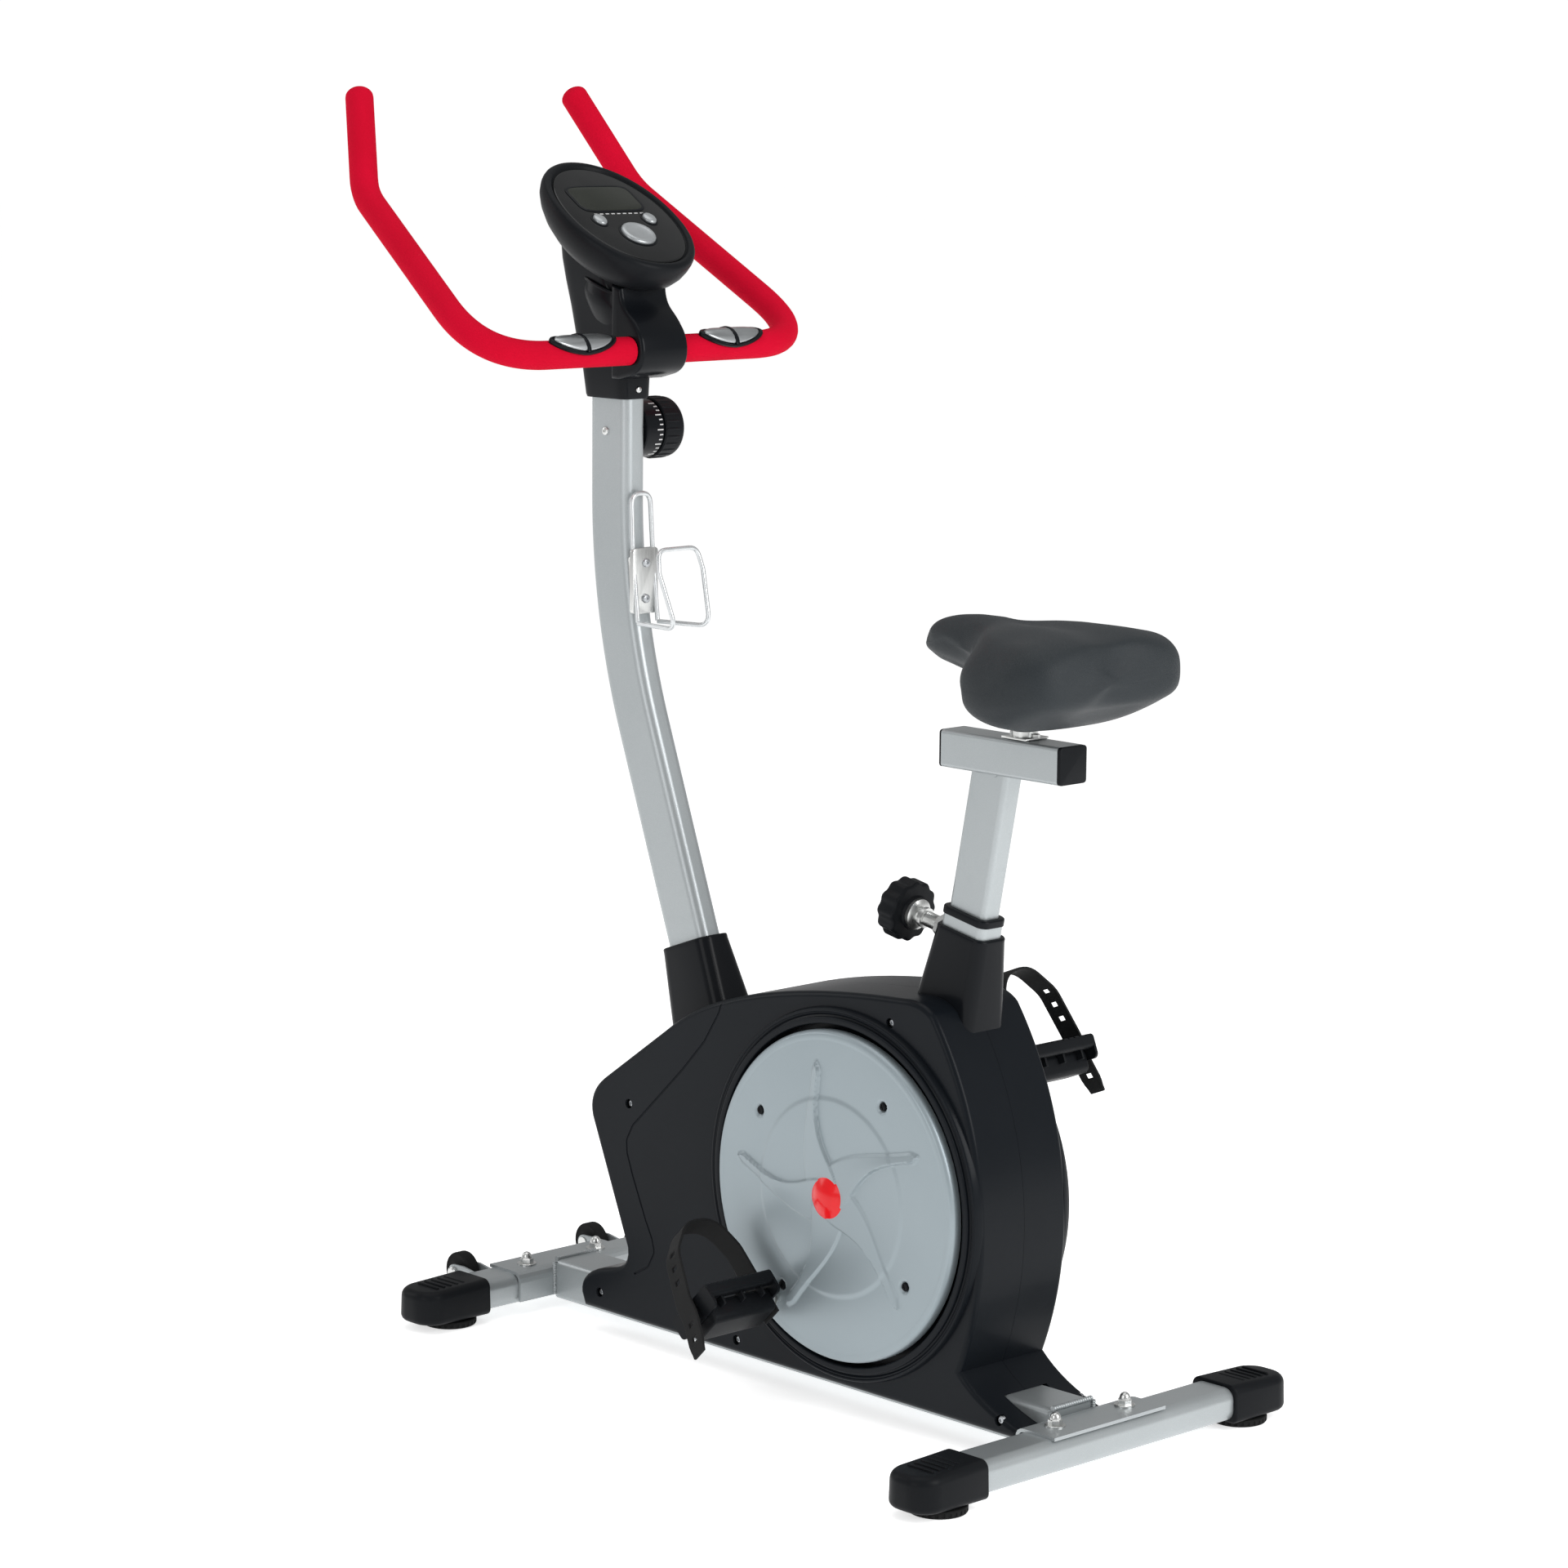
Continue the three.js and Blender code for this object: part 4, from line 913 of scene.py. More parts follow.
SEAT_LEAN = -10.96
MAST_LEAN = 20.3
seat_boot = sleeve((84, 60), (67, 43), 96, 12, 1.6, (58.8, 33.8, 8.4), "seat_boot_skin")
leaning(seat_boot, SEAT_LEAN, (-291.4 + 104 * math.sin(math.radians(10.96)), 0,
                               510 - 104 * math.cos(math.radians(10.96))))
place(seat_boot, "seat_boot_skin", "base", TRIM_BLACK, "seat_boot", angle=40)
mast_boot = sleeve((92, 62), (74, 43), 122, 14, 1.6, (61.0, 31.0, 10.4), "mast_boot_skin")
leaning(mast_boot, MAST_LEAN, (71.3, 0, 316))
place(mast_boot, "mast_boot_skin", "base", TRIM_BLACK, "mast_boot", angle=40)
print("boots placed")

# %% [markdown]
# ## The frame tubes
#
# The mast is an oval-cornered steel tube, bent once. A plane with rounded corners is its
# section. It is extruded up the straight foot, then extruded and turned a little at a time
# through the bend, as the tube bender does, and extruded once more to the top.

# %% The bent mast
BEND_START = Vector((197.5, 0, 657.1))
BEND_RADIUS = 700
MAST_TOP = 1034
STEPS = 24


def rounded_leaf(size, corner, name):
    """A flat rounded rectangle in the XY plane, at the origin."""
    clear()
    bpy.ops.mesh.primitive_plane_add(size=1)
    leaf = bpy.context.object
    leaf.scale = (size[0] * MM, size[1] * MM, 1)
    bpy.ops.object.transform_apply(location=True, rotation=True, scale=True)
    edit(leaf)
    bpy.ops.mesh.select_all(action="SELECT")
    bpy.ops.mesh.bevel(offset=corner * MM, segments=8, affect="VERTICES")
    clear()
    leaf.name = name
    return leaf


def swept_leaf(leaf, stations):
    """Extrudes the leaf through stations: (centre in mm, lean in degrees)."""
    first, lean = stations[0]
    leaf.data.transform(about_y(lean))
    leaf.data.transform(Matrix.Translation(Vector(first) * MM))
    edit(leaf)
    bpy.ops.mesh.select_all(action="SELECT")
    bpy.ops.mesh.select_mode(type="FACE")
    for (before, lean_before), (after, lean_after) in zip(stations, stations[1:]):
        move = (Vector(after) - Vector(before)) * MM
        bpy.ops.mesh.extrude_region_move(TRANSFORM_OT_translate={"value": move})
        if lean_after != lean_before:
            mesh = bmesh.from_edit_mesh(leaf.data)
            turn = about_y(lean_after - lean_before, Vector(after) * MM)
            bmesh.ops.transform(mesh, matrix=turn, verts=[v for v in mesh.verts if v.select])
            bmesh.update_edit_mesh(leaf.data)
    clear()
    return leaf


axis_down = Vector((-math.sin(math.radians(MAST_LEAN)), 0, -math.cos(math.radians(MAST_LEAN))))
stations = [(BEND_START + axis_down * 291, MAST_LEAN), (BEND_START, MAST_LEAN)]
elbow = BEND_START - axis_down * BEND_RADIUS * math.tan(math.radians(MAST_LEAN / 2))
bend_end = Vector((241, 0, 900))
for k in range(1, STEPS + 1):
    t = k / STEPS
    centre = BEND_START * (1 - t) ** 2 + elbow * 2 * t * (1 - t) + bend_end * t * t
    slope = (elbow - BEND_START) * (1 - t) + (bend_end - elbow) * t
    stations.append((centre, math.degrees(math.atan2(slope.x, slope.z))))
stations.append((Vector((241, 0, MAST_TOP)), 0))
mast = swept_leaf(rounded_leaf((60, 30), 10, "mast_tube"), stations)
place(mast, "mast_tube", "base", SILVER, "mast", angle=30, weighted=True)
print("mast bend starts at", tuple(round(v, 1) for v in BEND_START))

# %% [markdown]
# The straight tubes are blocks whose long edges are rounded. The cross tubes are open inside
# in the CAD model, but here their ends sit deep in the end caps.

# %% Straight tubes
def rounded_bar(x, y, z, corner, along, name):
    """A block whose edges along one axis are rounded."""
    piece = block(x, y, z, name)
    bevel(piece, corner, 6, lambda c, edge: abs(
        (edge.verts[1].co - edge.verts[0].co).normalized()[along]) > 0.99)
    return piece


STABILISERS = {"front": (336, 211, 155), "rear": (-468, 267, 216.5)}
for end, (x, tip, _) in STABILISERS.items():
    half = tip - 20
    tube = rounded_bar((x - 26, x + 26), (-half, half), (11, 45), 12, 1, f"{end}_tube")
    if end == "rear":
        place(tube, "rear_cross_tube", "base", SILVER, "rear_stabiliser", angle=30, weighted=True)
    else:
        place(tube, "front_cross_tube", "base", SILVER, "front_stabiliser", angle=30, weighted=True)

beam = rounded_bar((-438, 306), (-30, 30), (10, 54), 6, 0, "beam_tube")
place(beam, "beam_tube", "base", SILVER, "main_beam", angle=30, weighted=True)

post = rounded_bar((-25, 25), (-12.5, 12.5), (-148, 168), 6, 2, "post_tube")
leaning(post, SEAT_LEAN, (-291.4, 0, 510))
place(post, "post_tube", "seat_post", SILVER, "seat_post", angle=30, weighted=True)
slider = rounded_bar((-420, -263.5), (-19, 19), (669.2, 706.8), 4, 0, "slider_tube")
place(slider, "slider_tube", "seat_post", SILVER, "slider_bar", angle=30, weighted=True)
print("straight tubes placed")

# %% [markdown]
# The slider's ends are closed by black plugs, pushed in until their flange meets the tube.

# %% Slider plugs, seat bush and welds
for name, x in (("slider_plug_rear", (-424.2, -420)), ("slider_plug_front", (-263.4, -260.4))):
    plug = block(x, (-18.9, 18.9), (669.3, 706.7), name)
    bevel(plug, 3.6, 4, lambda c, edge: abs(
        (edge.verts[1].co - edge.verts[0].co).normalized().x) > 0.99)
    bevel(plug, 1.2, 2, lambda c, edge: abs(c.x - (x[0] if name.endswith("rear") else x[1])) < 0.1)
    place(plug, name, "seat_post", GRIP_BLACK, angle=30)

bush = rounded_bar((-30.5, 30.5), (-18, 18), (9.4, 17), 9.5, 2, "seat_bush_ring")
bevel(bush, 1.6, 3, lambda c, edge: abs(c.z - 17) < 0.1)
core = rounded_bar((-25.3, 25.3), (-12.8, 12.8), (0, 30), 6.2, 2, "core")
boolean(bush, core)
leaning(bush, SEAT_LEAN, (-291.4, 0, 510))
place(bush, "seat_bush_ring", "base", TRIM_BLACK, "seat_bush", angle=35)
mouth = rounded_bar((-29.3, 29.3), (-16.8, 16.8), (-12, 9.2), 8.3, 2, "seat_tube_mouth")
mouth_core = rounded_bar((-25.4, 25.4), (-12.9, 12.9), (-20, 30), 6.2, 2, "core")
boolean(mouth, mouth_core)
leaning(mouth, SEAT_LEAN, (-291.4, 0, 510))
place(mouth, "seat_tube_mouth", "base", SILVER, angle=30, weighted=True)


def weld_bead(points, name, body="base"):
    """A row of overlapping ripples, as a welder leaves along a joint."""
    steps = route(points, 4, 2)
    dense = [steps[0].lerp(steps[-1], k / 60) for k in range(61)]
    ripple = [1 + 0.16 * math.sin(k * 1.9) for k in range(61)]
    bead = wire(dense, 2.6, name, ripple, 3)
    return place(bead, name, body, SILVER, angle=60)


for side in (1, -1):
    word = "left" if side > 0 else "right"
    weld_bead([(306.5, side * 30.5, 16), (306.5, side * 30.5, 52)], f"weld_front_{word}")
    weld_bead([(-438.5, side * 30.5, 16), (-438.5, side * 30.5, 52)], f"weld_rear_{word}")
weld_bead([(306.5, -28, 54.4), (306.5, 28, 54.4)], "weld_front_top")
weld_bead([(-438.5, -28, 54.4), (-438.5, 28, 54.4)], "weld_rear_top")
weld_bead([(-330.5, -14, 669.2), (-330.5, 14, 669.2)], "weld_slider", "seat_post")
print("plugs, bush and welds placed")

# %% [markdown]
# ## Cover discs, caps and pedals
#
# The crank arm hides behind a moulded disc of 340 mm. Its face is a shallow dome with a
# round plateau and a five-armed star in low relief. The disc is turned first, with many
# rings and steps, and then a height is added to each point of its face: the star's arms
# taper, bend near the hub, and have one steep flank and one soft one.

# %% Cover discs
def ease(value, low, high):
    """0 below low, 1 above high, and a smooth step between."""
    t = min(1, max(0, (value - low) / (high - low)))
    return t * t * (3 - 2 * t)


DISC_SCREWS = [(127.5, angle) for angle in (34, 124, 214, 304)]


def star_height(r, angle):
    """Relief of the star and plateau at a radius in mm and an angle in degrees."""
    height = 1.1 * (1 - ease(r, 99, 104))
    best = 0
    for k in range(5):
        lean = 22 * (max(0, 138 - r) / 101) ** 1.5
        off = (angle - (80 + 72 * k - lean) + 180) % 360 - 180
        across = math.radians(off) * r
        half = 6.2 + 17 * (max(0, 118 - r) / 84) ** 2.1
        half *= 1 - ease(r, 128, 143)
        if half < 0.3:
            continue
        steep = 1 - ease(across, half - 1.8, half)
        soft = ease(across, -half, -half + 2.6)
        slope = 0.55 + 0.45 * ease(across, -half, half)
        best = max(best, 4.0 * steep * soft * slope)
    best = max(best, 2.2 * (1 - ease(r, 26, 42)))
    for radius, at in DISC_SCREWS:
        turn = math.radians((angle - at + 180) % 360 - 180)
        gap = math.hypot(radius - r * math.cos(turn), r * math.sin(turn))
        height -= 3.2 * (1 - ease(gap, 4.6, 6.6))
    return height + best


face = [(r, 81.2 - 3.4 * (r / 165) ** 3) for r in [0, 8, 16, *[20 + 1.6 * k for k in range(89)]]]
disc_profile = face + arc((163, 72.4), 6.9, 66, 0, 6) + [(169.9, 66), (167, 66), (167, 73),
                                                         (160, 75), (0, 76.5)]
disc = spun(disc_profile, CRANK_AT, steps=480, name="disc")


def raise_star(p):
    dx, dz = p.x - CRANK_AT[0], p.z - CRANK_AT[2]
    r = math.hypot(dx, dz)
    if p.y < 77.3 or r > 160:
        return p
    return (p.x, p.y + star_height(r, math.degrees(math.atan2(dz, dx))), p.z)


move_points(disc, raise_star)
place(disc, "cover_disc_left", "crank", DISC, "crank_disc_left", angle=60, tidy=False)
half_turn = about_y(180, CRANK_AT)
other_disc = copied(disc, half_turn @ MIRROR)
place(other_disc, "cover_disc_right", "crank", DISC, "crank_disc_right", angle=60, tidy=False)
print("disc faces", len(disc.data.polygons))

# %% [markdown]
# The red cap snaps into the hub. Four black cross-head screws sit in dimples of the disc.

# %% Caps and disc screws
cap_profile = [(0, 76), (20.5, 76), (22.4, 80), (22.6, 83.2), *arc((19.6, 83.4), 3.0, 0, 60, 5),
               (17.5, 87.6), (13, 89.8), (7, 91.4), (0, 92)]
cap = spun(cap_profile, CRANK_AT, steps=72)
cap_right = copied(cap, MIRROR)
place(cap, "hub_cap_red_left", "crank", RED, "hub_cap_left", angle=60)
place(cap_right, "hub_cap_red_right", "crank", RED, "hub_cap_right", angle=60)

heads = []
for radius, at in DISC_SCREWS:
    x = CRANK_AT[0] + radius * math.cos(math.radians(at))
    z = CRANK_AT[2] + radius * math.sin(math.radians(at))
    head = spun([(0, 75), (4.4, 75), (4.4, 78.2), *arc((2.9, 78.2), 1.5, 0, 90, 4), (0, 79.8)],
                (x, 0, z), steps=28)
    for turn in (0, 90):
        slot = block((x - 2.6, x + 2.6), (78.6, 82), (z - 0.55, z + 0.55))
        boolean(head, copied(slot, about_y(turn + 20, (x, 0, z))))
        bpy.data.objects.remove(slot)
    heads.append(head)
screws = joined(*heads)
screws_right = copied(screws, half_turn @ MIRROR)
place(screws, "disc_screws_left", "crank", GRIP_BLACK, angle=30)
place(screws_right, "disc_screws_right", "crank", GRIP_BLACK, angle=30)
print("caps and screws placed")

# %% [markdown]
# A pedal turns on its own spindle. The body is drawn level, round the spindle, and both
# pedals are copies that are tipped and moved to the ends of the cranks. It has a core round
# the spindle, a tread bar along each edge, and an end plate at each side.

# %% Pedal bodies and spindles
ARM = 143
ARM_ANGLE = math.radians(-56.5)


def pedal_places():
    """For each side: its name, sign and the turn that puts a level pedal on its crank."""
    for side, sign, tip in (("left", 1, 45), ("right", -1, 22)):
        foot = Vector((CRANK_AT[0] + sign * ARM * math.cos(ARM_ANGLE), 0,
                       CRANK_AT[2] + sign * ARM * math.sin(ARM_ANGLE)))
        mirror = MIRROR if sign < 0 else Matrix.Identity(4)
        yield side, foot, Matrix.Translation(foot) @ about_y(tip) @ mirror


def tread_bar(x):
    bar = rounded_bar((x - 7, x + 7), (101.5, 190.5), (2.5, 17), 4.5, 1, "tread")
    for k in range(9):
        y = 112 + k * 8.5
        notch = block((x - 9, x + 9), (y, y + 2.6), (15.4, 20))
        bar = boolean(bar, notch)
    return bar


core = rounded_bar((-21, 21), (104, 188), (-20.5, 5), 7, 1, "core")
bevel(core, 2.5, 3, lambda c, edge: abs(c.y - 104) < 0.2 or abs(c.y - 188) < 0.2)
hollow_bore = spun([(0, 98), (6.6, 98), (6.6, 183), (0, 183)], (0, 0, 0), steps=32)
boolean(core, hollow_bore)
plates = []
for y in ((101, 104.2), (187.8, 191)):
    plate = rounded_bar((-34.5, 34.5), y, (-9, 15.5), 6, 1, "plate")
    boolean(plate, spun([(0, 90), (8, 90), (8, 183), (0, 183)], (0, 0, 0), steps=32))
    plates.append(plate)
cap_end = spun([(0, 190.4), (9, 190.4), (9, 192), (6.5, 193), (0, 193.3)], (0, 0, 0), steps=40)
ribs = [block((-30, 30), (y, y + 3), (-7, 4)) for y in (118, 145, 172)]
for rib in ribs:
    bevel(rib, 0.8, 2)
pedal = joined(core, tread_bar(-28), tread_bar(28), *plates, cap_end, *ribs)

spindle_profile = [(0, 52), (7, 52), (7, 84.5), (10, 85.2), (10, 87.5), (7.4, 88), (7.4, 90),
                   (9.6, 90.6), (9.6, 96.5), (8.4, 97.4), (6, 97.8), (6, 182), (0, 182)]
spindle = spun(spindle_profile, (0, 0, 0), steps=40)
edit(spindle)
pick(spindle, "FACE", lambda c, f: 90.7 < c.y < 96.4 and int(
    (math.degrees(math.atan2(c.z, c.x)) + 360) / 9) % 4 == 0)
bpy.ops.mesh.inset(thickness=0.2 * MM, use_individual=False)
clear()
for side, foot, matrix in pedal_places():
    place(copied(pedal, matrix), f"pedal_block_{side}", f"pedal_{side}", GRIP_BLACK,
          f"pedal_body_{side}", angle=30, tidy=False)
    place(copied(spindle, matrix), f"pedal_pin_{side}", "crank", ZINC, f"pedal_spindle_{side}",
          angle=35)
bpy.data.objects.remove(pedal)
bpy.data.objects.remove(spindle)
print("pedals placed")

# %% [markdown]
# The strap is one moulded rubber band with a row of square holes. A strip is extruded along
# the arch, three faces wide. The middle faces of the adjusting end are deleted to make the
# holes, and the Solidify modifier gives the band its thickness.

# %% Pedal straps
def strap():
    arch = route([(0, 99.0, -22), (0, 99.6, 60), (0, 112, 98), (0, 150, 98), (0, 178, 70),
                  (0, 196, 18), (0, 198, 0), (0, 212, -42)], 30, 4)
    lengths = [0]
    for a, b in zip(arch, arch[1:]):
        lengths.append(lengths[-1] + (b - a).length)
    count = 56
    even = []
    for k in range(count + 1):
        want = lengths[-1] * k / count
        i = max(1, next((j for j, s in enumerate(lengths) if s >= want - 1e-6), len(arch) - 1))
        t = (want - lengths[i - 1]) / max(1e-6, lengths[i] - lengths[i - 1])
        even.append(arch[i - 1].lerp(arch[i], min(1, t)))
    columns = [-13, -12, -4.2, 4.2, 12, 13]
    clear()
    bpy.ops.mesh.primitive_grid_add(x_subdivisions=len(columns) - 1, y_subdivisions=count)
    band = bpy.context.object
    per_row = len(columns)
    for i, vertex in enumerate(band.data.vertices):
        row, column = divmod(i, per_row)
        narrow = 1 - 0.25 * ease(row, count - 3, count)
        vertex.co = (even[row] + X * columns[column] * narrow) * MM
    edit(band)
    holes = [(even[row] + even[row + 1]) / 2 for row in (34, 37, 40, 49, 52)]
    pick(band, "FACE", lambda c, f: abs(c.x) < 3 and any(
        (Vector((0, c.y, c.z)) - hole).length < 1.5 for hole in holes))
    bpy.ops.mesh.delete(type="FACE")
    clear()
    hold(band)
    solid = band.modifiers.new("thickness", "SOLIDIFY")
    solid.thickness = 2.8 * MM
    solid.offset = 0
    bpy.ops.object.modifier_apply(modifier=solid.name)
    edit(band)
    pick(band, "EDGE", lambda c, e: len(e.link_faces) == 2 and e.calc_face_angle(0) > 0.9)
    bpy.ops.mesh.bevel(offset=0.7 * MM, segments=2, affect="EDGES")
    clear()
    return band


band = strap()
for side, foot, matrix in pedal_places():
    place(copied(band, matrix), f"strap_{side}", f"pedal_{side}", RUBBER, f"pedal_strap_{side}",
          angle=40)
bpy.data.objects.remove(band)
print("straps placed")

# %% [markdown]
# ## The saddle
#
# A home bike's saddle is a wide foam pad under a stretched vinyl cover. It is lofted from
# the nose to the back. A table gives the half width, top and bottom at a few places, and a
# smooth curve fills in between. Each section is a soft rectangle whose sides droop, so the
# cheeks hang lower than the middle.

# %% Saddle: sections
SECTIONS = [  # x, half width, top, bottom
    (-227.5, 3, 792, 786), (-229.5, 10, 800, 782), (-234, 17, 807.5, 779), (-242, 22.5, 813.5, 776.5),
    (-254, 26.5, 818, 774), (-272, 29.5, 821, 771), (-292, 32, 821.5, 768), (-310, 35.5, 821, 765),
    (-324, 41, 820.5, 764), (-336, 51, 820, 762), (-347, 66, 820, 757), (-357, 83, 820, 750),
    (-368, 100, 820.5, 738), (-380, 111, 821, 728), (-394, 116.5, 821.5, 723.5),
    (-410, 118.5, 821.5, 723), (-428, 117.5, 821, 727.5), (-444, 114.5, 820, 735), (-458, 109.5, 818, 741.5),
    (-468, 103.5, 815.5, 746), (-476, 95.5, 812, 748.5), (-482, 84, 806.5, 752), (-486, 67, 799, 757),
    (-488.4, 42, 789, 764), (-489, 12, 781, 770)]


def between(table, x):
    """Smooth (Catmull-Rom) values of a table at x; x falls along it."""
    k = max(i for i in range(len(table) - 1) if x <= table[i][0] or i == 0)
    before, start = table[max(k - 1, 0)], table[k]
    end, after = table[k + 1], table[min(k + 2, len(table) - 1)]
    t = (x - start[0]) / (end[0] - start[0])
    values = []
    for p0, p1, p2, p3 in zip(before[1:], start[1:], end[1:], after[1:]):
        values.append(0.5 * (2 * p1 + (p2 - p0) * t + (2 * p0 - 5 * p1 + 4 * p2 - p3) * t * t
                             + (3 * p1 - p0 - 3 * p2 + p3) * t ** 3))
    return values


def saddle_ring(x):
    """One closed section of the pad at x, with cheeks that droop."""
    half, top, bottom = between(SECTIONS, x)
    middle, tall = (top + bottom) / 2, (top - bottom) / 2
    wide = ease(half, 45, 100)
    ring = []
    for k in range(72):
        angle = 2 * math.pi * k / 72
        c, s = math.cos(angle), math.sin(angle)
        rear = ease(-x, 405, 465)
        power = 2 / (2.25 + 0.45 * wide + 0.9 * rear)
        y = half * math.copysign(abs(c) ** power, c)
        z = middle + tall * math.copysign(abs(s) ** power, s)
        out = abs(y) / max(half, 1)
        droop = (6 + 9 * wide * (1 - 0.8 * rear)) * out ** 2.8 * (1 if s > 0 else 0.25)
        lift = 17 * wide * (1 - out ** 2) * (1 if s < 0 else 0) * ease(-x, 430, 350)
        dent = 13 * math.exp(-(y / 34) ** 2) * ease(-x, 455, 489)
        ring.append(Vector((x + dent, y, z - droop + lift)))
    return ring


stations = [-227.5 - 1.2 * k for k in range(5)]
while stations[-1] > -489:
    stations.append(stations[-1] - (5.2 if -466 < stations[-1] < -240 else 2.6))
stations[-1] = -489
saddle = lofted([saddle_ring(x) for x in stations], "saddle_pad")
saddle_bed = [vertex.co.copy() for vertex in saddle.data.vertices]
print("saddle of", len(stations), "sections,", len(saddle.data.polygons), "faces")

# %% [markdown]
# The Cloth simulation then stretches the cover over the foam: a little pressure from inside
# and no gravity, for twenty frames. How far a point may move is capped, so the pad keeps its
# drawn shape and only gets the taut, full look of a stuffed cover.

# %% Saddle: inflate
hold(saddle)
cloth = saddle.modifiers.new("inflate", "CLOTH")
cloth.settings.quality = 5
cloth.settings.mass = 0.3
cloth.settings.tension_stiffness = 25
cloth.settings.compression_stiffness = 25
cloth.settings.bending_stiffness = 8
cloth.settings.use_pressure = True
cloth.settings.uniform_pressure_force = 3
cloth.settings.effector_weights.gravity = 0
cloth.point_cache.frame_end = 20
for step in range(1, 21):
    bpy.context.scene.frame_set(step)
bpy.ops.object.modifier_apply(modifier=cloth.name)
bpy.context.scene.frame_set(1)
farthest = 0
for vertex, start in zip(saddle.data.vertices, saddle_bed):
    moved = vertex.co - start
    farthest = max(farthest, moved.length)
    if moved.length > 3 * MM:
        vertex.co = start + moved.normalized() * 3 * MM
print("the cloth moved up to", round(farthest / MM, 1), "mm")

# %% [markdown]
# Last come the channel that runs down the middle of the seat, and the soft ridge that leaves
# the nose and sweeps over each cheek. Both are gentle lifts and dips of the points.

# %% Saddle: channel and ridges
def saddle_shape(p):
    x, y, z = p
    top = ease(z, 768, 796)
    channel = 9 * math.exp(-(y / 13) ** 2) * ease(-x, 325, 380) * top
    path = 24 + 62 * ease(-x, 300, 410) + 6 * ease(-x, 400, 460)
    ridge = 3.4 * math.exp(-((abs(y) - path) / 13) ** 2) * ease(-x, 285, 330) * ease(x, -484, -440)
    valley = 4.5 * math.exp(-((abs(y) - path - 20) / 14) ** 2) * ease(-x, 300, 335) * ease(x, -400, -350)
    return (x, y, z + (ridge - valley) * top - channel)


move_points(saddle, saddle_shape)
polish = saddle.modifiers.new("polish", "SMOOTH")
polish.factor = 0.5
polish.iterations = 4
hold(saddle)
bpy.ops.object.modifier_apply(modifier=polish.name)
finer = saddle.modifiers.new("finer", "SUBSURF")
finer.levels = finer.render_levels = 1
bpy.ops.object.modifier_apply(modifier=finer.name)
low = [min(v.co[i] for v in saddle.data.vertices) / MM for i in range(3)]
high = [max(v.co[i] for v in saddle.data.vertices) / MM for i in range(3)]
print("saddle from", [round(v) for v in low], "to", [round(v) for v in high])
place(saddle, "saddle_pad", "saddle", VINYL, "saddle", angle=180, tidy=False)

# %% [markdown]
# ## Feet, end caps, wheels and bolts
#
# The end caps are thick mouldings pushed over the cross tubes. Each is a block with large
# vertical radii and a softer upper edge, and low ribs across its top for the foot that
# steadies the bike. A round rubber foot on a threaded stud stands under each cap.

# %% End caps and levelling feet
def end_cap(x, tip):
    cap = block((x - 31, x + 31), (tip - 89, tip), (9.2, 48.5), "cap")
    move_points(cap, lambda p: (x + (p.x - x) * (0.95 if p.z > 30 else 1), p.y,
                                p.z - (3 if p.z > 30 and p.y > tip - 1 else 0)))
    bevel(cap, 25, 10, lambda c, e: c.y > tip - 1 and abs(c.x - x) > 20 and 12 < c.z < 44)
    bevel(cap, 9, 6, lambda c, e: c.z > 44 and c.y > tip - 88.5)
    bevel(cap, 7, 5, lambda c, e: c.z < 9.4 and c.y > tip - 88.5)
    bevel(cap, 2, 3, lambda c, e: c.y < tip - 88.9)
    mouth = rounded_bar((x - 26.3, x + 26.3), (tip - 92, tip - 84), (10.9, 45.1), 12, 1, "mouth")
    boolean(cap, mouth)
    pieces = [cap]
    for k in range(5):
        rib = block((x - 17, x + 17), (tip - 64 + 9 * k, tip - 60.5 + 9 * k), (44, 48.4))
        bevel(rib, 1.3, 2)
        pieces.append(rib)
    return joined(*pieces)


foot_profile = [(0, 0), (26.4, 0), (28, 0.6), (29, 2.2), (29, 6.0), *arc((27, 6.0), 2, 0, 80, 4),
                (24, 8.3), (12, 8.8), (6, 9.0), (4.2, 9.4), (4.2, 14), (0, 14)]
for end, (x, tip, foot_y) in STABILISERS.items():
    both_sides(end_cap(x, tip), f"cap_{end}_{{}}", "base", GRIP_BLACK, f"end_cap_{end}_{{}}",
               angle=32, tidy=False)
    foot = spun(foot_profile, (x, foot_y, 0), (0, 0, 1), 56)
    edit(foot)
    pick(foot, "FACE", lambda c, f: 2.6 < c.z < 5.8 and int(
        (math.degrees(math.atan2(c.y - foot_y, c.x - x)) + 360) / 6.43) % 2 == 0)
    bpy.ops.mesh.inset(thickness=0.25 * MM, depth=-0.7 * MM, use_individual=True)
    clear()
    right_foot = copied(foot, MIRROR)
    for side, made in (("left", foot), ("right", right_foot)):
        place(made, f"foot_pad_{end}_{side}", f"levelling_foot_{end}_{side}", RUBBER,
              f"levelling_foot_{end}_{side}", angle=35)
print("caps and feet placed")

# %% [markdown]
# The bike is wheeled away by tipping it onto two small wheels. Each turns on a pin between
# two plates that are welded to the front tube.

# %% Transport wheels
WHEEL_AT = (388, 94, 37)
wheel_profile = [(4.4, 85), (8, 85), (9, 86.2), (10.5, 87.2), (17.5, 87.2), (18.6, 86.6),
                 *arc((18.6, 89), 2.4, 270, 360, 5), (21, 94), *arc((18.6, 99), 2.4, 0, 90, 5),
                 (17.5, 100.8), (10.5, 100.8), (9, 101.8), (8, 103), (4.4, 103), (4.4, 85)]
both_sides(spun(wheel_profile, (WHEEL_AT[0], 0, WHEEL_AT[2]), steps=56),
           "transport_roller_{}", "transport_wheel_{}", RUBBER, "transport_wheel_{}")


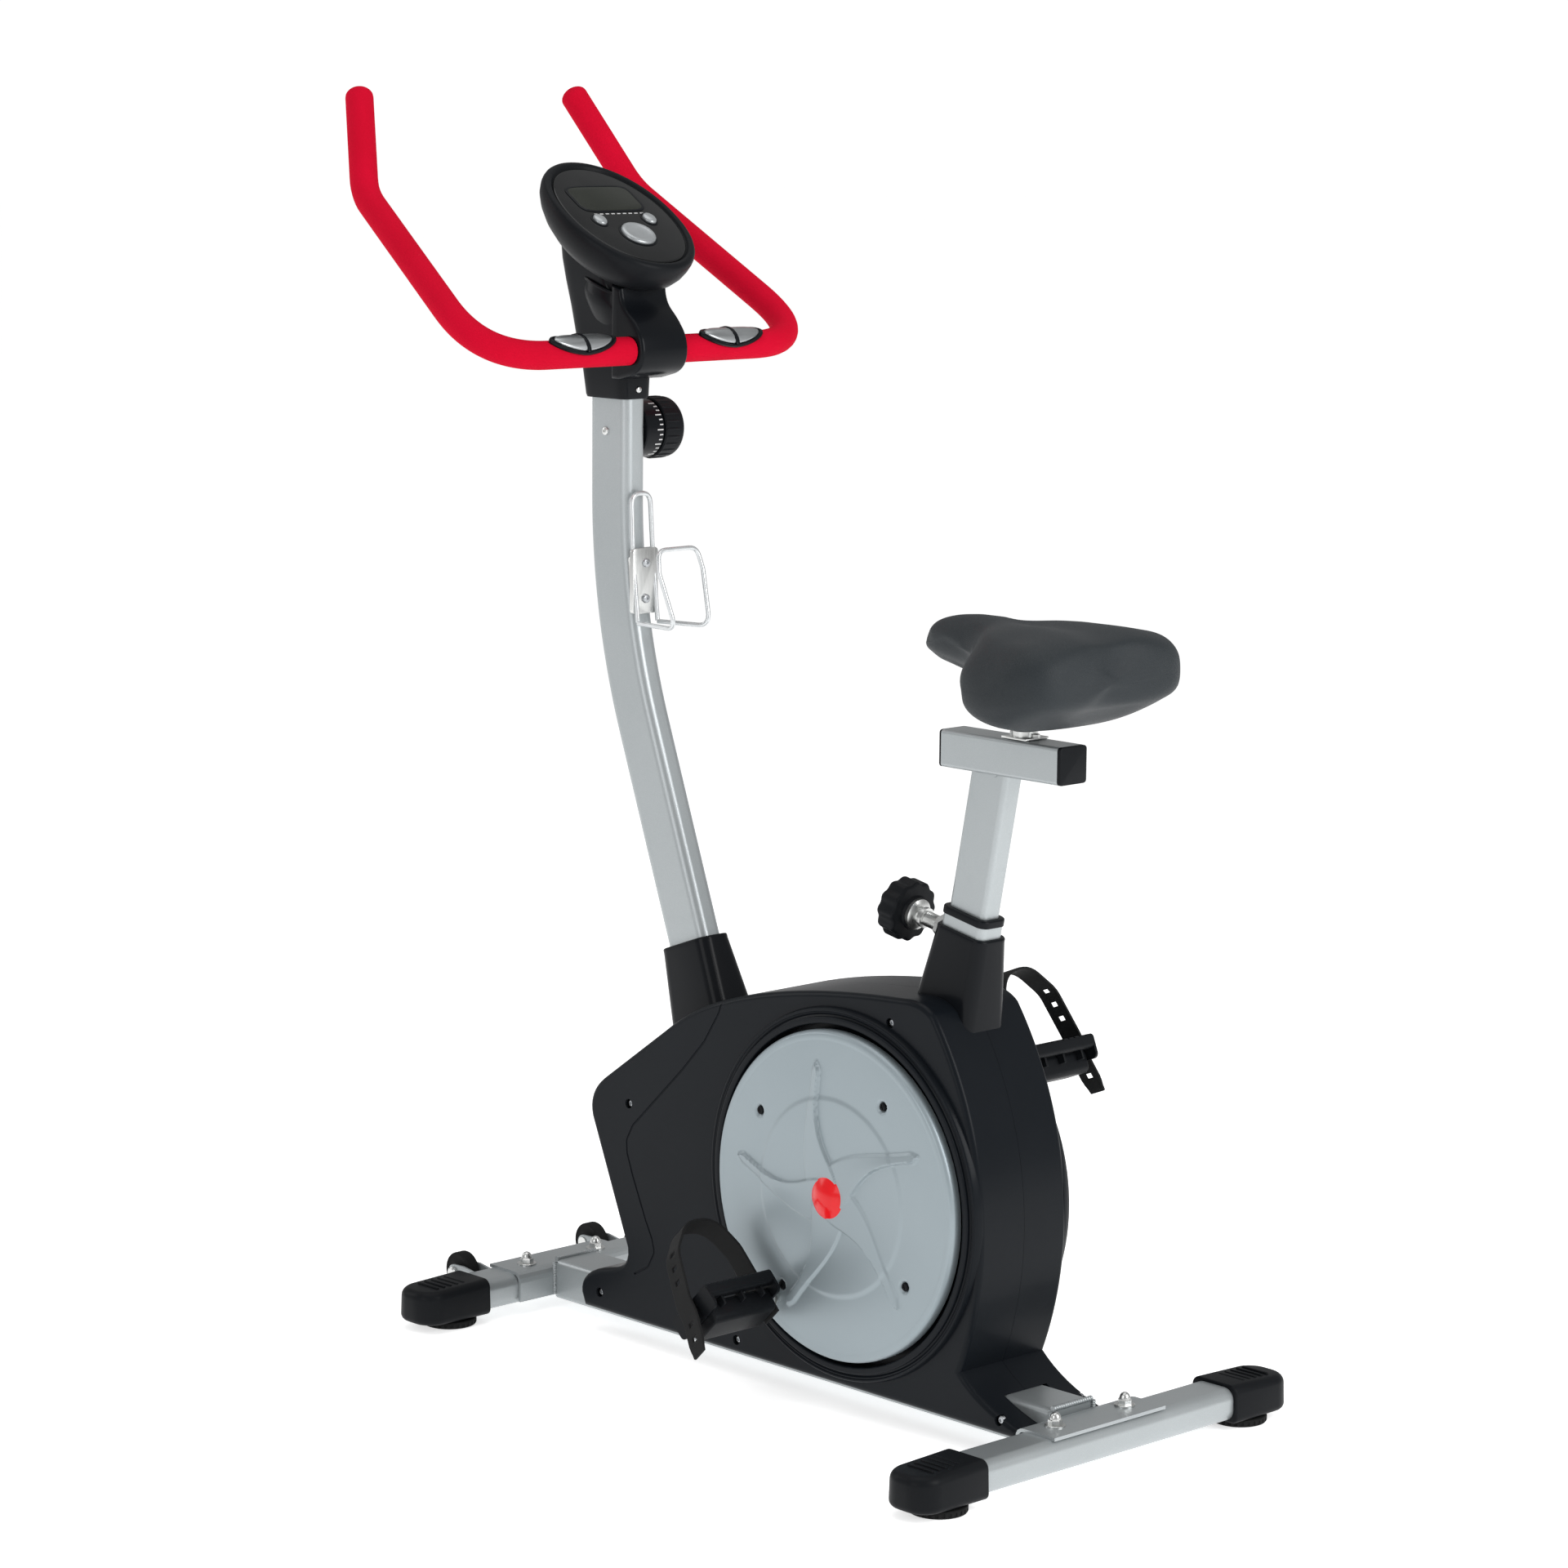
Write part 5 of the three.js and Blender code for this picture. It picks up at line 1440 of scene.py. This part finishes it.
def ear(y):
    side_view = [(352, 43.5), (360, 20), (388, 28)]
    side_view += arc((388, 37), 9, -90, 90, 10)
    side_view += [(372, 46.6)]
    plate = outline([(px, y, pz) for px, pz in side_view], (0, 3, 0), "ear")
    return bevel(plate, 0.7, 2)


ears = [ear(81), ear(104)]
pin = spun([(0, 79.6), (6.5, 79.6), (6.5, 80.9), (4, 81), (4, 107.2), (6.5, 107.3), (6.5, 110),
            (5, 111.5), (0, 111.5)], (WHEEL_AT[0], 0, WHEEL_AT[2]), steps=32)
both_sides(joined(*ears), "wheel_ears_{}", "base", SILVER, angle=30)
both_sides(pin, "wheel_pin_{}", "base", ZINC, angle=35)
print("wheels placed")

# %% [markdown]
# Carriage bolts come up through each cross tube and its cradle plate. A washer and a domed
# nut close them. The nut's hexagon is a turned disc of six steps, under a smooth dome.

# %% Domed nuts
def dome_nut(x, y, z):
    washer = spun([(0, 0), (10.5, 0), (10.5, 1.4), (10, 1.8), (0, 1.8)], (x, y, z), (0, 0, 1), 32)
    hexagon = spun([(0, 1.8), (7.4, 1.8), (7.4, 6.4), (6.4, 7.2), (0, 7.2)], (x, y, z), (0, 0, 1), 6)
    dome = spun([(0, 7), (5.8, 7), (5.6, 9), *arc((0, 8.6), 5.4, 12, 88, 7), (0, 14.0)],
                (x, y, z), (0, 0, 1), 32)
    under = spun([(0, -38), (6, -38), (9.5, -36), (10, -34.2), (0, -34.2)], (x, y, z), (0, 0, 1), 32)
    return joined(washer, hexagon, dome, under)


for end, x in (("front", 331), ("rear", -463)):
    both_sides(dome_nut(x, 50, 47.8), f"dome_nut_{end}_{{}}", "base", ZINC, angle=35)
print("nuts placed")

# %% [markdown]
# ## Handlebar
#
# A steel tube, bent at the sides and again near the tips, runs through the clamp. A foam
# tube covers each half. The foam is a thick wire along the bent route, whose last points
# get thinner, so the tip is a dome.

# %% Foam grips
BAR_AT = Vector((186, 0, 1055))
bar_route = route([(186, 34, 1055), (186, 232, 1055), (431, 188, 1212), (486, 151, 1312)], 75, 5)
tip_way = (bar_route[-1] - bar_route[-2]).normalized()
sizes = [1.0] * len(bar_route)
for k in range(1, 9):
    angle = math.radians(90 * k / 8)
    bar_route.append(Vector((486, 151, 1312)) + tip_way * 11 * math.sin(angle))
    sizes.append(max(0.02, math.cos(angle)))
foam = wire(bar_route, 15, "foam", sizes, 10)
right_foam = copied(foam, MIRROR)
place(foam, "foam_sleeve_left", "bars", FOAM, "foam_grip_left", angle=60)
place(right_foam, "foam_sleeve_right", "bars", FOAM, "foam_grip_right", angle=60)
print("foam route of", len(bar_route), "points")

# %% [markdown]
# The hand-pulse sensors lie on top of the foam. Each is a boat-shaped frame with two metal
# plates. It is drawn flat, as ovals that shrink towards the top, and then wrapped round the
# bar: the distance across becomes an angle.

# %% Pulse sensors
def wrapped(piece, radius=15.0, turn=-30):
    """Bends a flat piece, drawn as (across, y, height), round the bar."""
    def bend_point(p):
        angle = p.x / (radius + 1) + math.radians(turn)
        reach = radius + p.z
        return (BAR_AT.x + reach * math.sin(angle), p.y, BAR_AT.z + reach * math.cos(angle))
    return move_points(piece, bend_point)


def boat(middle, half_across, half_along, heights, square=1.7):
    """Oval rings at one centre: heights are (scale, height) pairs."""
    return lofted([oval((0, middle, h), X, Y, half_across * s, half_along * (1 - (1 - s) * 0.5),
                        square, 56) for s, h in heights])


sensor_frame = boat(104, 17.5, 45, [(0.96, -1.5), (1.0, 0.3), (1.0, 2.4), (0.95, 3.8), (0.86, 4.2),
                                    (0.82, 3.6), (0.8, 2.8), (0.5, 2.9), (0.2, 3.0)])
sensor_plate = boat(104, 13.4, 38.5, [(1.0, 2.4), (1.0, 3.4), (0.94, 4.3), (0.84, 4.8), (0.5, 5.2),
                                      (0.2, 5.3)])
divider = block((-14.5, 14.5), (101.6, 106.4), (2.4, 6.2))
edit(divider)
for cut_at in (-9, -4.5, 0, 4.5, 9):
    bpy.ops.mesh.select_all(action="SELECT")
    bpy.ops.mesh.bisect(plane_co=(cut_at * MM, 0, 0), plane_no=(1, 0, 0))
clear()
bevel(divider, 1.0, 2, lambda c, e: c.z > 6 and abs(abs(c.y - 104) - 2.4) < 0.1)
for piece in (sensor_frame, sensor_plate, divider):
    wrapped(piece)
both_sides(joined(sensor_frame, divider), "sensor_frame_{}", "bars", TRIM_BLACK,
           "pulse_sensor_{}", angle=40)
both_sides(sensor_plate, "sensor_plate_{}", "bars", SENSOR_PLATE, angle=50)
print("sensors placed")

# %% [markdown]
# ## The mast's head
#
# A two-part cover hides the top of the mast. The front part grows wider towards the
# console, so it is lofted upwards from rounded oblongs. Behind it stands a round neck with
# a thin lip, and from the neck a rounded lobe sweeps down and wraps the bar. The lobe is
# drawn from the side and its rim is rounded.

# %% Head cover
HEAD_RINGS = [(1002, 1002, 209.5, 274, 19), (1005, 1005, 208.5, 275, 20),
              (1030, 1032, 208, 279, 21.5), (1056, 1066, 206, 287, 24.5),
              (1080, 1100, 207, 293, 27.5), (1096, 1126, 212, 298, 30.5),
              (1110, 1150, 216, 302, 32.5), (1122, 1172, 220, 304, 33)]
rings = []
for rear_z, front_z, x0, x1, half in HEAD_RINGS:
    slant = Vector((x1 - x0, 0, front_z - rear_z)) / (x1 - x0)
    middle = Vector(((x0 + x1) / 2, 0, (rear_z + front_z) / 2))
    rings.append(oval(middle, slant, Y, (x1 - x0) / 2, half, 6, 80))
head = lofted(rings, "head")
mast_pocket = rounded_bar((210.7, 271.3), (-15.3, 15.3), (995, 1035.5), 10, 2, "pocket")
boolean(head, mast_pocket)
place(head, "head_shell", "base", TRIM_BLACK, "head_cover", angle=45)

lobe_view = [(216, 1024), (216, 1124), (200.5, 1119)]
lobe_view += [tuple(p) for p in bent((200.5, 1119), (200, 1104), (189, 1095), 8)]
lobe_view += [tuple(p) for p in bent((189, 1095), (180, 1087), (175, 1080), 4)]
lobe_view += [tuple(p) for p in bent((175, 1080), (165.5, 1069), (165.5, 1054), 8)]
lobe_view += [tuple(p) for p in bent((165.5, 1054), (166, 1033), (188, 1028), 9)]
lobe_view += [(204, 1024)]
lobe = outline([(x, -33, z) for x, z in lobe_view], (0, 66, 0), "lobe")
bevel(lobe, 4.5, 5, lambda c, e: abs(abs(c.y) - 33) < 0.1)
bar_bore = spun([(0, -50), (15.4, -50), (15.4, 50), (0, 50)], BAR_AT, steps=48)
boolean(lobe, bar_bore)
place(lobe, "clamp_lobe", "base", TRIM_BLACK, "clamp_cover", angle=40, tidy=False)

NECK_TILT = math.radians(19)
neck_slope = Vector((math.cos(NECK_TILT), 0, math.sin(NECK_TILT)))
neck = lofted([oval((x, 0, z), neck_slope, Y, across, along, 2.5, 72) for x, z, across, along in (
    (238, 1076, 26, 24), (237, 1090, 33, 31), (236.5, 1100, 38.5, 34.5), (236.5, 1106, 40, 35.5),
    (236.8, 1112, 39.6, 35.2), (237, 1117, 38.8, 34.4), (237, 1119.5, 38.6, 34.2),
    (237, 1120, 40.2, 35.8), (237, 1121.6, 40.6, 36.2), (237, 1123, 40.0, 35.6),
    (237, 1123.6, 38, 33.6), (237, 1122, 36, 31.6))], "neck")
place(neck, "neck_shell", "base", TRIM_BLACK, angle=40)
print("head, clamp and neck placed")

# %% [markdown]
# One screw at the back holds the lower edge of the head cover, and another one on each side
# closes the hole across the mast. A screw is spun from half of its section, with a recess.

# %% Head and mast screws
def pan_screw(at, axis, radius=4.2):
    r = radius
    head = spun([(0, -3), (r, -3), (r, 0.6), *arc((r - 1.8, 0.6), 1.8, 0, 90, 4), (1.4, 2.6),
                 (1.1, 1.4), (0, 1.4)], at, axis, 28)
    return head


place(pan_screw((208.5, 0, 1012), (-1, 0, 0), 3.6), "head_screw", "base", ZINC)
both_sides(pan_screw((243, 15.0, 967), (0, 1, 0), 4.6), "mast_screw_{}", "base", ZINC)
print("screws placed")

# %% [markdown]
# ## Console
#
# The console is a deep oval bowl with a rolled rim and a slightly sunk face. Its sections
# are ovals, parallel to the face, that grow from the neck to the rim and then close in
# again. `face_point` turns distances up the slope, across it and out of it into a place.

# %% Console bowl
TILT = math.radians(33.5)
SLOPE = Vector((math.cos(TILT), 0, math.sin(TILT)))
OUT = Vector((-math.sin(TILT), 0, math.cos(TILT)))
CONSOLE_AT = Vector((243.7, 0, 1186))
CONSOLE_SIZE = (97, 78)


def face_point(u, y, out):
    return CONSOLE_AT + SLOPE * u + Y * y + OUT * out


BOWL = [(0.44, -41), (0.60, -38), (0.75, -32), (0.87, -23), (0.945, -14), (0.985, -6), (1.0, 1),
        (1.0, 4.5), (0.992, 7.6), (0.975, 9.8), (0.95, 11.0), (0.925, 11.1), (0.905, 10.2),
        (0.893, 8.6), (0.885, 7.2), (0.87, 6.8), (0.5, 7.0), (0.1, 7.2)]
bowl = lofted([oval(face_point(-7 * ease(-h, 0, 40), 0, h), SLOPE, Y, CONSOLE_SIZE[0] * s,
                    CONSOLE_SIZE[1] * s, 2.08, 96) for s, h in BOWL], "bowl")
place(bowl, "console_bowl", "base", GRIP_BLACK, "console_body", angle=50)
collar = lofted([oval((x, 0, z), Vector((math.cos(tilt), 0, math.sin(tilt))), Y, across, along, 2.3, 64)
                 for x, z, tilt, across, along in (
                     (237, 1117, 0.33, 33, 29.5), (237, 1124, 0.35, 35.5, 31.4),
                     (237.5, 1132, 0.40, 36, 32), (239, 1141, 0.46, 39, 34), (242, 1150, 0.52, 46, 39),
                     (246, 1158, 0.56, 52, 42))], "collar")
place(collar, "neck_collar", "base", GRIP_BLACK, angle=40)
print("bowl and collar placed")

# %% [markdown]
# The face is one smoked window over the display. A low frame goes round the display, and a
# row of short printed bars under it marks the functions, with no words.

# %% Window, display and marks
window = lofted([oval(face_point(0, 0, h), SLOPE, Y, CONSOLE_SIZE[0] * s, CONSOLE_SIZE[1] * s,
                      2.08, 96) for s, h in ((0.868, 6.4), (0.868, 8.0), (0.86, 8.6), (0.845, 8.8),
                                             (0.5, 9.0), (0.1, 9.1))], "window")
place(window, "face_window", "base", WINDOW, "display_lens", angle=50)


def face_plate(u, y, half_u, half_y, heights, square, finish, name, body="base", *replaced):
    plate = lofted([oval(face_point(u, y, h), SLOPE, Y, half_u - inset, half_y - inset, square, 64)
                    for inset, h in heights], name)
    return place(plate, name, body, finish, *replaced, angle=40)


face_plate(29, 0, 24, 45, ((0, 8), (0, 9.5), (0.8, 9.8), (2.6, 9.8), (3.0, 9.4), (4, 9.4)), 5,
           TRIM_BLACK, "display_frame")
face_plate(29, 0, 20.8, 41.8, ((0, 9.1), (0, 9.5), (0.5, 9.6)), 6, PANEL, "display_glass")
marks = []
for k in range(9):
    mark = lofted([oval(face_point(2.0, -32 + 8 * k, h), SLOPE, Y, 0.7, 2.4, 5, 12)
                   for h in (9.0, 9.35)])
    marks.append(mark)
place(joined(*marks), "function_marks", "base", PRINT, angle=30)
print("window and display placed")

# %% [markdown]
# Three silver buttons: two small ones and a large oval one. Each is a soft dome in a black
# bezel, and the large one has a shallow dish for the thumb.

# %% Buttons
SMALL = ((0.3, 5.4), (0, 10.4), (0.5, 11.6), (1.6, 12.5), (3.4, 13.0), (6.4, 13.2))
LARGE = ((0.3, 5.4), (0, 10.4), (0.6, 11.8), (2.0, 12.8), (3.8, 13.1), (5.8, 12.7), (9.6, 12.2),
         (16.0, 12.1))
for word, u, y, half_u, half_y, heights in (
        ("left", -9, 34.5, 8.6, 7.6, SMALL), ("right", -9, -34.5, 8.6, 7.6, SMALL),
        ("enter", -35, 0, 18.4, 20.4, LARGE)):
    face_plate(u, y, half_u, half_y, heights, 2, BUTTON, f"button_cap_{word}", f"button_{word}",
               f"button_{word}")
    face_plate(u, y, half_u + 2.4, half_y + 2.4, ((0, 8), (0, 9.4), (0.6, 9.9), (1.7, 9.9), (2.1, 9.2)),
               2, TRIM_BLACK, f"button_bezel_{word}")
print("buttons placed")

# %% [markdown]
# ## Tension dial
#
# The base is fixed to the right side of the mast and carries a printed scale. The knob
# turns on it and pulls the cable that moves the magnets. Both are turned about Y, and the
# knob gets twenty-four grip ribs.

# %% Tension dial
DIAL_AT = Vector((241, -15.3, 968))
RIGHT = (0, -1, 0)
base_profile = [(0, -0.2), (30, -0.2), (31, 1), (31, 22.8), (29.5, 24), (29.5, 24.9), (0, 24.9)]
place(spun(base_profile, DIAL_AT, RIGHT, 72), "dial_base", "base", TRIM_BLACK, "tension_base",
      angle=32)
knob_profile = [(0, 25.4), (31.2, 25.4), (32.4, 26.6), (32.4, 44), *arc((24.9, 47), 7.5, 0, 78, 7),
                (20, 55.0), (12, 56.4), (0, 56.9)]
knob = spun(knob_profile, DIAL_AT, RIGHT, 72)
ribs = []
for k in range(24):
    angle = math.radians(15 * k)
    x, z = 241 + 31.9 * math.sin(angle), 968 + 31.9 * math.cos(angle)
    ribs.append(wire([(x, -41.6, z), (x, -45, z), (x, -54, z), (x, -60.5, z)], 1.6, "rib",
                     [0.55, 1, 1, 0.6], 3))
place(joined(knob, *ribs), "dial_knob", "tension_knob", GRIP_BLACK, "tension_knob", angle=40)
ticks = []
for k in range(13):
    angle = math.radians(-150 + 10 * k)
    long = 8 if k % 3 == 0 else 4.5
    tick = block((-0.65, 0.65), (-37.2, -37.2 + long), (30.7, 31.25))
    tick.data.transform(Matrix.Translation(Vector((241, 0, 968)) * MM)
                        @ Matrix.Rotation(angle, 4, "Y"))
    ticks.append(tick)
place(joined(*ticks), "dial_scale", "base", PRINT, angle=30)
print("dial placed")

# %% [markdown]
# ## Seat knob and saddle clamp
#
# The knob screws a spring pin into the seat tube. Its grip has twelve soft lobes, pressed
# into a turned disc by moving its points in and out. The pin's thread is a zigzag profile.

# %% Seat knob
KNOB_WAY = Vector((math.cos(math.radians(10.96)), 0, math.sin(math.radians(10.96))))
KNOB_FROM = Vector((-291.4 + 12 * math.sin(math.radians(10.96)), 0, 498))
grip_profile = [(0, 77), (17, 77), (18, 79.5), (26.5, 80.2), *arc((28, 83.5), 3.2, 270, 360, 5),
                *arc((26.2, 99), 5, 0, 80, 6), (17, 104.2), (8, 105.2), (0, 105.4)]
grip = spun(grip_profile, KNOB_FROM, KNOB_WAY, 144)
side_way = KNOB_WAY.cross(Y)


def lobed(p):
    rel = p - KNOB_FROM
    along = rel.dot(KNOB_WAY)
    across = rel - KNOB_WAY * along
    r = across.length
    if r < 19:
        return p
    wave = math.cos(12 * math.atan2(across.dot(Y), across.dot(side_way)))
    return p + across.normalized() * (1.1 * wave - 0.6) * ease(r, 22, 30)


move_points(grip, lobed)
thread = [(0, 25.6), (8, 25.6), (8, 29)]
for k in range(14):
    thread += [(6.4, 30 + 2.2 * k), (7.9, 31.1 + 2.2 * k)]
thread += [(7, 61), (10.5, 61.6), (10.5, 66), (8.5, 67), (8.5, 70), (13, 71), (16, 73), (16, 77.5),
           (0, 77.5)]
place(spun(thread, KNOB_FROM, KNOB_WAY, 36), "knob_pin", "seat_knob", ZINC, angle=30)
place(grip, "knob_grip", "seat_knob", GRIP_BLACK, "seat_knob", angle=40)
nut = spun([(8.6, 32.5), (13.5, 32.5), (13.5, 40), (12.5, 41), (8.6, 41), (8.6, 32.5)], KNOB_FROM,
           KNOB_WAY, 6)
place(nut, "knob_nut", "base", ZINC, angle=20)
print("seat knob placed")

# %% [markdown]
# Under the saddle a steel plate sits on the slider, and a stud holds the pad's base to it.

# %% Saddle clamp
channel = block((-376, -342), (-16, 16), (707.2, 709.6), "channel")
bevel(channel, 0.8, 2)
stud = spun([(0, 709), (13, 709), (13, 715), (11.8, 716.2), (8.5, 716.2), (8.5, 745), (0, 745)],
            (-359, 0, 0), Z, 40)
bolts = [spun([(0, 709), (4.6, 709), (4.6, 712.6), (4, 713.2), (0, 713.2)], (x, 0, 0), Z, 6)
         for x in (-373, -345)]
place(joined(channel, stud, *bolts), "saddle_channel", "saddle", ZINC, "saddle_clamp", angle=30)
pan = rounded_bar((-396, -328), (-26, 26), (731, 752), 14, 2, "pan")
bevel(pan, 3, 3, lambda c, e: c.z < 731.2)
place(pan, "saddle_pan", "saddle", GRIP_BLACK, angle=35)
print("clamp placed")

# %% [markdown]
# ## Bottle cage
#
# Bright wire, bent in one plane after another. A tall loop lies against the mast and is
# held by a bracket with two screws. The hoop for the bottle comes forward from its foot,
# rises and crosses over.

# %% Bottle cage
back_loop = wire(route([(192, 14, 768), (200, 14, 836), (204, 13, 903), (204, -13, 903),
                        (200, -14, 836), (192, -14, 768)], 12, 3), 2.5, "back_loop")
hoop = wire(route([(191, 14, 767), (121, 24, 768), (140, 31, 826), (146, 27, 849),
                   (146, -27, 849), (140, -31, 826), (121, -24, 768), (191, -14, 767)], 12, 3),
            2.5, "hoop")
place(joined(back_loop, hoop), "cage_wire", "base", WIRE, "bottle_cage", angle=60)
bracket = block((195.5, 200.5), (-18, 18), (776, 846), "bracket")
bevel(bracket, 5, 4, lambda c, e: abs(abs(c.y) - 18) < 0.1 and (c.z < 777 or c.z > 845)
      and abs((e.verts[1].co - e.verts[0].co).normalized().x) > 0.99)
bevel(bracket, 0.9, 2, lambda c, e: c.x < 195.6)
stand = block((200, 213), (-12, 12), (786, 836), "stand")
bevel(stand, 2, 2)
place(joined(bracket, stand), "cage_bracket", "base", ZINC, angle=35)
cage_screws = joined(*[pan_screw((195.2, 0, z), (-1, 0, 0), 4.8) for z in (792, 830)])
place(cage_screws, "cage_screws", "base", STEEL)
print("bottle cage placed")
